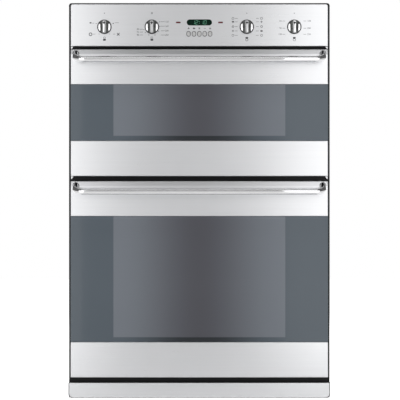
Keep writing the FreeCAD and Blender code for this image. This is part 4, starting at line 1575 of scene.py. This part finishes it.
@dataclass
class Legend:
    """What is printed round one knob: marks and numbers at places in mm from its middle."""

    name: str
    knob: str
    marks: Sequence[tuple[Mark, float, float, float]]
    numbers: Sequence[tuple[str, float, float]] = ()
    height: float = 5.2

    def build(self, printer: Print) -> None:
        """Print the legend.

        Args:
            printer: what prints the marks.
        """
        middle = Room.of(self.knob).centre
        parts = [printer.mark(kind, middle.x + x * MM, middle.z + z * MM, size)
                 for kind, x, z, size in self.marks]
        parts += [printer.words(text, middle.x + x * MM, middle.z + z * MM, self.height)
                  for text, x, z in self.numbers]
        fitted(joined(self.name, *parts), "oven", INK)


@dataclass
class Knob:
    """Chrome-capped control knob: black skirt, sloping face, waisted grip, black pointer drop."""

    name: str
    turns: str
    skirt: float = 16.3
    cap: float = 14.7
    foot: float = 19.4
    ridge: float = 6.4
    drop_place: float = 8.6

    def dome(self, seat: Vector) -> bpy.types.Object:
        """Turn the chrome cap, whose face slopes back all round.

        Args:
            seat: the middle of the knob on the panel.

        Returns:
            The cap.
        """
        profile = [(1.0, self.cap), (2.4, self.cap), (2.9, 14.4), (3.3, 13.6), (5.6, 8.0), (5.8, 6.0)]
        cap = smooth(turned("cap", seat, OUTWARD, profile, 64), 30.0)
        return dressed(cap, CHROME)

    def skirt_ring(self, seat: Vector) -> bpy.types.Object:
        """Turn the black skirt that the cap sits in."""
        profile = [(0.0, 15.6), (0.5, self.skirt), (2.6, self.skirt), (3.2, 15.8), (3.2, 14.2)]
        return dressed(smooth(turned("skirt", seat, OUTWARD, profile, 64)), MOULDING)

    def grip(self, seat: Vector, top: float) -> bpy.types.Object:
        """Raise the waisted grip and trim its ends round.

        Args:
            seat: the middle of the knob on the panel.
            top: how far the grip stands from the panel, in mm.

        Returns:
            The grip.
        """
        levels = [(2.0, self.foot), (5.0, 18.6), (9.0, 16.0), (14.0, 10.6), (top - 1.6, self.ridge + 0.8),
                  (top - 0.5, self.ridge - 0.4), (top, self.ridge - 2.2)]
        half = Vector((self.foot / 2 * MM, 0, self.cap * MM))
        grip = block("grip", seat - half + OUTWARD * levels[0][0] * MM, seat + half + OUTWARD * MM)
        with Edit(grip) as edit:
            edit.pick(lambda at, normal: normal.y < -0.9)
            for (back, wide), (along, narrow) in zip(levels, levels[1:]):
                edit.extrude(OUTWARD * (along - back) * MM)
                edit.scale((narrow / wide, 1, 1), seat + OUTWARD * along * MM)
            edit.clean()
        rim = turned("rim", seat, OUTWARD, [(-1, 14.4), (8, 14.4), (top - 1.0, 13.2), (top + 1, 12.0)], 64)
        modify(grip, "BOOLEAN", operation="INTERSECT", solver="EXACT", object=rim)
        bpy.data.objects.remove(rim)
        # The flanks take the darkened chrome as painted shade on the grip's sides; the ridge keeps the bright
        # chrome.
        grip.data.materials.append(KNOB_FLANK_SHADE.material())
        grip.data.materials.append(CHROME.material())
        with Edit(grip) as edit:
            edit.pick(lambda at, normal: abs(at.x - seat.x) < 0.52 * self.ridge * MM)
            grip.active_material_index = 1
            bpy.ops.object.material_slot_assign()
        return smooth(grip, 40.0)

    def drop(self, seat: Vector, top: float) -> bpy.types.Object:
        """Set the black pointer drop in the upper end of the grip.

        Args:
            seat: the middle of the knob on the panel.
            top: how far the drop stands from the panel, in mm.

        Returns:
            The drop.
        """
        middle = seat + UP * self.drop_place * MM
        drop = turned("drop", middle, OUTWARD, [(top - 0.6, 2.5), (top + 0.1, 2.5), (top + 0.3, 2.0)], 24)
        with Edit(drop, "VERT") as edit:
            edit.pick(lambda at, normal: at.z < middle.z - 1.2 * MM)
            edit.scale((0.45, 1, 1), middle).move(UP * -1.8 * MM)
        return dressed(smooth(drop), MOULDING)

    def build(self) -> None:
        """Make the knob."""
        room = Room.of(self.name)
        face = Room.of("control_panel").low.y
        seat = Vector((room.centre.x, face, room.centre.z))
        top = (face - room.low.y) / MM
        parts = [self.skirt_ring(seat), self.dome(seat), self.grip(seat, top - 0.5),
                 self.drop(seat, top - 0.6)]
        fitted(joined(self.name + "_cap", *parts), self.turns, CHROME, self.name)


LAMP_SHAPE = 3.2


@dataclass
class Display:
    """Green clock window with four seven-segment digits, and two red lamps."""

    digits: str = "1210"
    height: float = 8.2
    width: float = 4.9
    stroke: float = 0.65
    slant: float = 0.10
    proud: float = 0.2
    sunk: float = 0.05
    back: float = 0.25

    SEGMENTS = {"0": "abcdef", "1": "bc", "2": "abged"}

    def stroke_piece(self, at: Vector, upright: bool) -> bpy.types.Object:
        """Cut one pointed stroke of a digit.

        Args:
            at: its middle.
            upright: whether it runs upwards.

        Returns:
            The stroke.
        """
        long = (self.height / 2 if upright else self.width) - 0.5 * self.stroke
        wide, tall = (self.stroke, long) if upright else (long, self.stroke)
        half = Vector((wide / 2 * MM, 0, tall / 2 * MM))
        piece = block("stroke", at - half + OUTWARD * self.proud * MM, at + half + INWARD * self.sunk * MM)
        return trimmed(piece, 0.42 * self.stroke, 1)

    def digit(self, symbol: str, at: Vector) -> list[bpy.types.Object]:
        """Build one digit from its strokes.

        Args:
            symbol: the figure.
            at: its middle.

        Returns:
            The strokes.
        """
        across, rise = self.width / 2, self.height / 4
        places = {"a": (0, 2 * rise, False), "b": (across, rise, True), "c": (across, -rise, True),
                  "d": (0, -2 * rise, False), "e": (-across, -rise, True), "f": (-across, rise, True),
                  "g": (0, 0, False)}
        strokes = []
        for letter in self.SEGMENTS[symbol]:
            x, z, upright = places[letter]
            strokes.append(self.stroke_piece(at + Vector(((x + self.slant * z) * MM, 0, z * MM)), upright))
        return strokes

    def lamps(self) -> None:
        """Dome the two red lamps."""
        room = Room.of("indicator_lamps")
        high = room.size.z
        wide = high * LAMP_SHAPE
        lamps = []
        for x in (room.low.x + wide / 2, room.high.x - wide / 2):
            lamp = stadium("lamp", Vector((x, room.high.y, room.centre.z)), wide, high, room.size.y)
            lamps.append(rounded(lamp, 0.5, 3))
        fitted(joined("indicator_lamps_red", *lamps), "oven", LAMP_RED, "indicator_lamps")

    def build(self) -> None:
        """Make the display."""
        room = Room.of("display_window")
        face = room.low.y + self.back * MM
        seat = Vector((room.centre.x, room.high.y, room.centre.z))
        window = stadium("window", seat, room.size.x, room.size.z, room.size.y - self.back * MM)
        fitted(rounded(window, 0.5, 3), "oven", DISPLAY, "display_window", name="display_window_green")
        strokes = []
        pitch = self.width + 2.6
        places = (-1.75 * pitch, -0.8 * pitch, 0.8 * pitch, 1.75 * pitch)
        for symbol, x in zip(self.digits, places):
            strokes += self.digit(symbol, Vector((room.centre.x + x * MM, face, room.centre.z)))
        for side in (-1, 1):
            at = Vector((room.centre.x, face, room.centre.z + side * 1.9 * MM))
            strokes.append(turned("dot", at, OUTWARD, [(-self.sunk, 0.65), (self.proud, 0.65)], 12))
        fitted(joined("display_digits", *strokes), "oven", DIGITS)
        self.lamps()


@dataclass
class Buttons:
    """Five upright oval push buttons, each in a black collar."""

    names: tuple[str, ...] = ("back", "minus", "mode", "plus", "next")
    collar: float = 1.0
    collar_depth: float = 0.9
    gap: float = 1.2
    sunk: float = 0.4

    def build(self) -> None:
        """Make the buttons and their collars."""
        face = Room.of("control_panel").low.y
        collars = []
        for name in self.names:
            node = "button_" + name
            room = Room.of(node)
            middle = Vector((room.centre.x, face + self.sunk * MM, room.centre.z))
            wide, high = room.size.x, room.size.z
            cap = stadium(node, middle, wide - self.gap * MM, high - self.gap * MM,
                          face - room.low.y + self.sunk * MM)
            fitted(rounded(cap, 0.9, 4), name + "_button", GREY_PLASTIC, node, name=node + "_cap")
            ring = stadium("collar", middle, wide + self.collar * MM, high + self.collar * MM,
                           self.collar_depth * MM)
            hole = stadium("hole", middle + INWARD * MM, wide - 0.9 * MM, high - 0.9 * MM, 4 * MM)
            collars.append(rounded(cut(ring, hole), 0.2, 2))
        fitted(joined("button_collars", *collars), "oven", MOULDING)


@dataclass
class ControlPanel:
    """Folded steel front with its openings, prints, knobs, display and buttons."""

    sheet: float = 1.2
    fold: float = 1.8
    corner: float = 5.0
    drill: float = 0.03
    drill_back: float = 0.01

    def cover(self) -> None:
        """Fold the steel front and cut its openings."""
        room = Room.of("control_panel")
        cover = block("control_panel", room.low, room.high)
        opened(trimmed(cover, self.corner, 6, lambda at: at.z > room.centre.z))
        rounded(cover, self.fold, 4)
        sheet_metal(cover, self.sheet)
        window = Room.of("display_window")
        slack = 0.5 * MM
        holes = [(window.centre + INWARD * self.drill_back, window.size.x + slack, window.size.z + slack)]
        lamps = Room.of("indicator_lamps")
        wide = lamps.size.z * LAMP_SHAPE
        slack = 0.4 * MM
        back = room.low.y + self.drill_back
        for x in (lamps.low.x + wide / 2, lamps.high.x - wide / 2):
            holes.append((Vector((x, back, lamps.centre.z)), wide + slack, lamps.size.z + slack))
        for name in Buttons().names:
            button = Room.of("button_" + name)
            holes.append((Vector((button.centre.x, back, button.centre.z)), button.size.x, button.size.z))
        cut(cover, *[stadium("hole", at, width, height, self.drill) for at, width, height in holes])
        fitted(smooth(cover), "oven", STEEL, "control_panel", name="control_panel_steel")

    def legends(self) -> list[Legend]:
        """Return what is printed round each knob.

        Returns:
            The legends.
        """
        dot = (Mark.DOT, 0.0, 31.0, 2.0)
        ring = (Mark.RING, 0.0, 31.0, 4.2)
        foot_square = [(Mark.SQUARE, 0.0, -25.2, 5.0), (Mark.BLOCK, 0.0, -29.6, 6.4)]
        foot_block = [(Mark.BLOCK, 0.0, -25.0, 6.0), (Mark.SQUARE, 0.0, -29.4, 6.0)]
        modes = [(Mark.BLOCK, -31.5, 9.0, 4.4), (Mark.DASH, -25.5, 8.4, 4.6),
                 (Mark.DOT, -18.6, 7.6, 1.8), (Mark.RING, -31.5, -17.0, 8.0),
                 (Mark.DASH, -23.5, -16.6, 6.0), (Mark.DOT, -12.0, -16.6, 1.4),
                 (Mark.DOT, 20.0, 7.6, 2.6), (Mark.DASH, 28.0, 9.2, 9.0),
                 (Mark.CROSS, 31.5, -17.0, 8.0), (Mark.DASH, 22.0, -16.6, 5.0),
                 (Mark.DOT, 12.0, -16.6, 1.4)]
        thirds, quarters = (-5.6, -12.0, -18.6), (11.6, 1.4, -9.0, -18.8)
        fifths = (19.2, 11.4, 0.6, -9.4, -19.4)
        near = [(Mark.DOT, x, z, 1.9) for x, z in ((-18.0, -6.5), (-15.0, -13.0), (-7.0, -18.6), (7.0, -18.6),
                                                   (15.0, -10.0), (18.2, 1.0), (18.0, 11.4))]
        left3 = [(Mark.DASH, -24.0, z, 8.0) for z in thirds]
        right4 = [(Mark.DASH, 25.0, z, 9.0) for z in quarters]
        left5, right5 = ([(Mark.DASH, x, z, 6.4) for z in fifths] for x in (-24.0, 24.0))
        heats_left = [(text, -32.0, z) for text, z in zip(("50", "75", "90"), thirds)]
        heats_right = [(text, 34.0, z) for text, z in zip(("120", "160", "200", "250"), quarters)]
        shapes = (Mark.SQUARE, Mark.BLOCK, Mark.RING, Mark.PLUS, Mark.SQUARE)
        left_shapes = [(kind, -31.5, z, 5.2) for kind, z in zip(shapes, fifths)]
        right_shapes = [(kind, 33.5, z, 5.2) for kind, z in zip(reversed(shapes), fifths)]
        side3 = [(Mark.DASH, side * 24.0, z, 6.4) for side in (-1, 1) for z in (13.2, -3.2, -17.0)]
        warm = [("50", -31.5, 13.2), ("90", -31.5, -3.2), ("120", -32.5, -17.0),
                ("160", 33.5, 13.2), ("200", 33.5, -3.2), ("250", 33.5, -17.0)]
        return [Legend("print_lower_function", "knob_upper_function", [dot, *foot_square, *modes]),
                Legend("print_lower_heat", "knob_upper_temperature",
                       [ring, *foot_square, *left3, *right4, *near], heats_left + heats_right),
                Legend("print_upper_function", "knob_lower_function",
                       [dot, *foot_block, *left5, *right5, *left_shapes, *right_shapes]),
                Legend("print_upper_heat", "knob_lower_temperature", [dot, *foot_block, *side3], warm)]

    def icons(self, printer: Print) -> None:
        """Print the five small signs over the buttons.

        Args:
            printer: what prints the marks.
        """
        signs = (Mark.PEAK, Mark.BLOCK, Mark.CROSS, Mark.DASH, Mark.PLUS)
        buttons = [Room.of("button_" + name) for name in Buttons().names]
        rise = buttons[0].high.z + 6.6 * MM
        marks = [printer.mark(sign, room.centre.x, rise, 5.0) for sign, room in zip(signs, buttons)]
        fitted(joined("print_clock_signs", *marks), "oven", INK)

    def build(self) -> None:
        """Make the panel and all that it carries."""
        self.cover()
        printer = Print(Room.of("control_panel").low.y)
        for legend in self.legends():
            legend.build(printer)
        self.icons(printer)
        Display().build()
        Buttons().build()
        for name in ("upper_function", "upper_temperature", "lower_function", "lower_temperature"):
            Knob("knob_" + name, name + "_knob").build()


@dataclass
class BottomTrim:
    """Folded steel strip under the lower door, its lower corners rounded."""

    corner: float = 9.0
    sheet: float = 1.2
    edge: float = 1.6

    def plate(self, low: Vector, high: Vector) -> bpy.types.Object:
        """Make a block with its two lower corners rounded.

        Args:
            low: its lowest corner.
            high: its highest corner.

        Returns:
            The block.
        """
        middle = (low.z + high.z) / 2
        return trimmed(block("bottom_trim", low, high), self.corner, 8, lambda at: at.z < middle)

    def build(self) -> None:
        """Fold the steel strip and set it on a black backing that shows round it as a fine dark edge: painted
        shade along the strip's folded edge.
        """
        room = Room.of("bottom_trim")
        # The strip is narrower at both sides and shorter at its foot than the backing, so the black shows
        # round it as painted shade.
        side = ACROSS * self.edge * MM
        strip = self.plate(room.low + side + UP * 0.8 * MM, room.high - side)
        rounded(opened(strip), 1.2, 4)
        dressed(sheet_metal(strip, self.sheet), STEEL)
        shade_backing = self.plate(room.low + INWARD * 2.0 * MM, room.high)
        dressed(rounded(shade_backing, 0.4, 2), BLACK_ENAMEL_AND_SHADE)
        fitted(joined("bottom_trim_steel", strip, shade_backing), "oven", STEEL, "bottom_trim")


# ------------------------------------------------------------------ front frame

@dataclass
class FrontFrame:
    """Black enamelled frame behind the doors, with a lip over the panel and steel ends in the gaps; its black
    is the frame's own colour and also painted shade along the doors' sides and the panel's top.
    """

    lip: float = 1.5
    ear: float = 9.0
    corner: float = 6.0
    set_back: float = 1.5
    narrower: float = 1.8
    gap_width: float = 6.5
    gap_side: float = 0.3
    gap_depth: float = 3.0
    gap_slant: float = 4.0

    def arch(self, low: tuple[float, float, float], high: tuple[float, float, float]) -> bpy.types.Object:
        """Make a block with its two upper corners rounded.

        Args:
            low: its lowest corner.
            high: its highest corner.

        Returns:
            The block.
        """
        middle = (low[2] + high[2]) / 2
        return trimmed(block("lip", low, high), self.corner, 6, lambda at: at.z > middle)

    def plate(self) -> bpy.types.Object:
        """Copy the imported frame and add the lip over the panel.

        Returns:
            The frame with its lip.
        """
        room = Room.of("front_frame")
        panel = Room.of("control_panel")
        plate = refined("front_frame", 0.3)
        front = panel.low.y + self.set_back * MM
        reach = room.high.x - self.narrower * MM
        lip = self.arch((-reach, front, room.high.z - self.ear * MM),
                        (reach, room.low.y + 0.5 * MM, room.high.z))
        inside = self.arch((panel.low.x, front - 0.01, room.high.z - 2 * self.ear * MM),
                           (panel.high.x, room.low.y + 0.01, room.high.z - self.lip * MM))
        cut(lip, inside)
        return joined("front_frame_enamel", plate, lip)

    def gap_end(self, name: str, body: str, low: float, high: float, front: float) -> None:
        """Set a slanted bright steel end in both ends of one gap.

        Args:
            name: the piece's name.
            body: the body it rides on.
            low: the gap's lower edge.
            high: the gap's upper edge.
            front: how far forward it stands.
        """
        edge = Room.of("upper_door_upper_rail").high.x
        piece = block(name, (edge - self.gap_width * MM, front, low),
                      (edge - self.gap_side * MM, front + self.gap_depth * MM, high))
        with Edit(piece, "VERT") as edit:
            edit.pick(lambda at, normal: at.x < edge - 6 * MM and at.z < low + 0.1 * MM)
            edit.move(ACROSS * self.gap_slant * MM)
        rounded(piece, 0.6, 3)
        other = mirrored(piece, name + "_other")
        fitted(joined(name, piece, other), body, STEEL)

    def build(self) -> None:
        """Make the frame and the gap ends."""
        # The frame's black enamel also stands in as painted shade along the doors' sides and the panel's top.
        fitted(self.plate(), "oven", BLACK_ENAMEL_AND_SHADE, "front_frame")
        upper = Room.of("upper_door_upper_rail")
        panel = Room.of("control_panel")
        self.gap_end("gap_ends_top", "oven", upper.high.z + 1.5 * MM, panel.low.z - 0.3 * MM,
                     upper.low.y + 12 * MM)
        foot = Room.of("upper_door_lower_rail")
        self.gap_end("gap_ends_middle", "upper_door", foot.low.z - 6.6 * MM, foot.low.z + 0.2 * MM,
                     foot.low.y + 16.5 * MM)


# ------------------------------------------------------------------ casing

@dataclass
class Casing:
    """Zinc-coated outer case: pressed ribs, screws, slotted motor cover, blank plate and gland."""

    rib: float = 11.0
    rise: float = 2.2
    crown: float = 3.2
    screw: float = 4.0
    fold: float = 0.6
    vents: int = 12
    vent_place: float = 60.0
    vent_width: float = 5.0
    vent_length: float = 44.0
    cover_screws: int = 6
    cover_screw_place: float = 107.0

    def bead(self, centre: Vector, facing: Vector, along: Vector, length: float) -> bpy.types.Object:
        """Press one long rounded rib that stands out of a sheet.

        Args:
            centre: its middle, on the sheet's face.
            facing: the way the sheet faces.
            along: the way the rib runs.
            length: its length in metres.

        Returns:
            The rib.
        """
        bead = stadium("rib", Vector(), self.rib * MM, length, self.rise * MM, 24)
        with Edit(bead) as edit:
            edit.pick(lambda at, normal: normal.y < -0.9).inset(self.crown * MM)
        with Edit(bead, "VERT") as edit:
            half = self.rib / 2 * MM
            straight = length / 2 - half

            def on_rim(at: Vector, normal: Vector) -> bool:
                """Say whether a point is on the outline of the rib's raised side."""
                from_line = Vector((at.x, 0, max(0.0, abs(at.z) - straight))).length
                return at.y < -0.5 * self.rise * MM and from_line > half - MM

            edit.pick(on_rim)
            edit.move(INWARD * 0.8 * self.rise * MM)
        smooth(bead, 60.0)
        turn = Matrix((facing.cross(along) * -1, -facing, along)).transposed().to_4x4()
        bead.matrix_world = Matrix.Translation(centre) @ turn
        activate(bead)
        bpy.ops.object.transform_apply(location=True, rotation=True, scale=True)
        with Edit(bead) as edit:
            edit.clean()
        return bead

    def screws(self, name: str, body: str, places: Iterable[Vector], facing: Vector) -> None:
        """Drive a row of screws into a sheet.

        Args:
            name: the joined screws' name.
            body: the body they ride on.
            places: where each head meets the sheet.
            facing: the way the heads face.
        """
        fitted(copied(name, Screw(self.screw).build(Vector(), facing), places), body, ZINC)

    def side(self, node: str, facing: Vector) -> None:
        """Press ribs in one side and screw it along its edges.

        Args:
            node: the side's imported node.
            facing: the way it faces.
        """
        room = Room.of(node)
        face = room.high.x if facing.x > 0 else room.low.x
        fitted(refined(node, self.fold), "oven", ZINC_SHEET, node)
        ribs = []
        for share in (0.2, 0.5, 0.8):
            at = Vector((face, room.low.y + share * room.size.y, room.centre.z))
            ribs.append(self.bead(at, facing, UP, 0.72 * room.size.z))
        fitted(joined(node + "_ribs", *ribs), "oven", ZINC_SHEET)
        edges = (room.low.y + 12 * MM, room.high.y - 12 * MM)
        places = [Vector((face, y, room.low.z + share * room.size.z))
                  for y in edges for share in (0.03, 0.35, 0.65, 0.97)]
        self.screws(node + "_screws", "oven", places, facing)

    def top(self) -> None:
        """Cross-rib the top sheet and screw it down."""
        room = Room.of("top_panel")
        fitted(refined("top_panel", self.fold), "oven", ZINC_SHEET, "top_panel")
        ribs = []
        for share in (0.25, 0.5, 0.75):
            at = Vector((room.centre.x, room.low.y + share * room.size.y, room.high.z))
            ribs.append(self.bead(at, UP, ACROSS, 0.66 * room.size.x))
        fitted(joined("top_panel_ribs", *ribs), "oven", ZINC_SHEET)
        places = [Vector((x, room.low.y + share * room.size.y, room.high.z))
                  for x in (room.low.x + 9 * MM, room.high.x - 9 * MM) for share in (0.06, 0.36, 0.66, 0.94)]
        self.screws("top_panel_screws", "oven", places, UP)

    def rear(self) -> None:
        """Dish the rear sheet's slotted motor cover, and screw both down."""
        room = Room.of("rear_panel")
        motor = Room.of("fan_motor")
        face = room.high.y
        fitted(refined("rear_panel", self.fold), "oven", ZINC_SHEET, "rear_panel")
        seat = Vector((motor.centre.x, face, motor.centre.z))
        profile = [(-0.2, 112), (1.2, 112), (4.0, 104), (5.0, 100), (5.0, 92), (3.4, 88), (3.4, 30),
                   (5.4, 26), (5.4, 20)]
        dish = turned("dish", seat, INWARD, profile, 72)
        slot = stadium("slot", seat + INWARD * 0.02 + UP * self.vent_place * MM, self.vent_width * MM,
                       self.vent_length * MM, 0.0186)
        slots = [twin(slot, Vector(), step * 360 / self.vents, INWARD, seat) for step in range(self.vents)]
        bpy.data.objects.remove(slot)
        cut(dish, *slots)
        fitted(smooth(dish), "oven", ZINC_SHEET, name="rear_motor_cover")
        turns = [math.radians((step + 0.5) * 360 / self.cover_screws) for step in range(self.cover_screws)]
        wide = self.cover_screw_place * MM
        ring = [seat + Vector((wide * math.cos(turn), 2.0 * MM, wide * math.sin(turn))) for turn in turns]
        self.screws("rear_motor_cover_screws", "oven", ring, INWARD)
        edge = [Vector((x, face, room.low.z + share * room.size.z))
                for x in (room.low.x + 10 * MM, room.high.x - 10 * MM)
                for share in (0.03, 0.27, 0.5, 0.73, 0.97)]
        self.screws("rear_panel_screws", "oven", edge, INWARD)

    def blank_plate(self) -> None:
        """Rivet a blank rating plate to the rear sheet."""
        face = Room.of("rear_panel").high.y
        plate = trimmed(block("plate", (-0.20, face, 0.56), (-0.09, face + 0.6 * MM, 0.63)), 4, 5)
        fitted(rounded(plate, 0.15, 2), "oven", SHEET_ALUMINIUM, name="rear_blank_plate")
        rivets = [Vector((x, face + 0.6 * MM, z)) for x in (-0.195, -0.095) for z in (0.565, 0.625)]
        first = smooth(turned("rivet", Vector(), INWARD, [(0, 2.2), (0.7, 2.0), (1.1, 1.3)], 16))
        fitted(copied("rear_blank_plate_rivets", first, rivets), "oven", SHEET_ALUMINIUM)

    def gland(self) -> None:
        """Turn the ribbed cable gland round its bore."""
        room = Room.of("cable_gland")
        wall = Room.of("rear_panel").high.y
        seat = Vector((room.centre.x, wall, room.centre.z))
        outer = (room.size.x / 2) / MM
        reach = (room.high.y - wall) / MM
        profile = [((room.low.y - wall) / MM, outer * 0.8), (-1.2, outer * 0.8), (-1.2, outer), (1.2, outer),
                   (2.4, outer * 0.96), (3.0, outer * 0.82)]
        step = (reach - 4.0) / 4
        for ring in range(4):
            back = 3.0 + ring * step
            profile += [(back + along * step, outer * (share - 0.02 * ring))
                        for along, share in ((0.35, 0.82), (0.5, 0.74), (1, 0.80))]
        profile.append((reach, outer * 0.68))
        body = turned("gland", seat, INWARD, profile, 40)
        cut(body, turned("bore", seat, INWARD, [(-40, 6.5), (40, 6.5)], 32))
        fitted(smooth(body, 40.0), "oven", GLAND_RUBBER, "cable_gland", name="cable_gland_ribbed")

    def build(self) -> None:
        """Make the case."""
        self.side("side_panel_left", -ACROSS)
        self.side("side_panel_right", ACROSS)
        self.top()
        self.rear()
        self.blank_plate()
        self.gland()
        for node in ("base_panel", "divider_plate", "control_box", "blower_housing"):
            fitted(refined(node, 0.4), "oven", ZINC_SHEET, node)


# ------------------------------------------------------------------ oven rooms

@dataclass
class OvenRooms:
    """Enamelled rooms, fan cover and tray, with their sharp packed edges softened."""

    fold: float = 0.5
    screw: float = 3.6
    screw_inset: float = 9.0

    def build(self) -> None:
        """Make what is seen with a door open."""
        for node in ("upper_cavity", "lower_cavity", "fan_cover"):
            fitted(refined(node, self.fold), "oven", OVEN_ENAMEL, node)
        fitted(refined("baking_tray", self.fold), "tray", OVEN_ENAMEL, "baking_tray")
        cover = Room.of("fan_cover")
        inset = self.screw_inset * MM
        places = [Vector((x, cover.low.y, z)) for x in (cover.low.x + inset, cover.high.x - inset)
                  for z in (cover.low.z + inset, cover.high.z - inset)]
        head = Screw(self.screw).build(Vector(), OUTWARD)
        fitted(copied("fan_cover_screws", head, places), "oven", ZINC)
        for side in ("upper", "lower"):
            node = side + "_door_seal"
            fitted(refined(node, 1.2, 3), "oven", SEAL, node)


def main() -> None:
    """Build the studio, then the oven from the doors inwards."""
    logging.basicConfig(level=logging.INFO, format="%(name)s: %(message)s")
    Studio().build()
    KeptNodes().build()
    Door("upper").build()
    Door("lower").build()
    ControlPanel().build()
    BottomTrim().build()
    FrontFrame().build()
    Casing().build()
    OvenRooms().build()


if __name__ == "__main__":
    main()
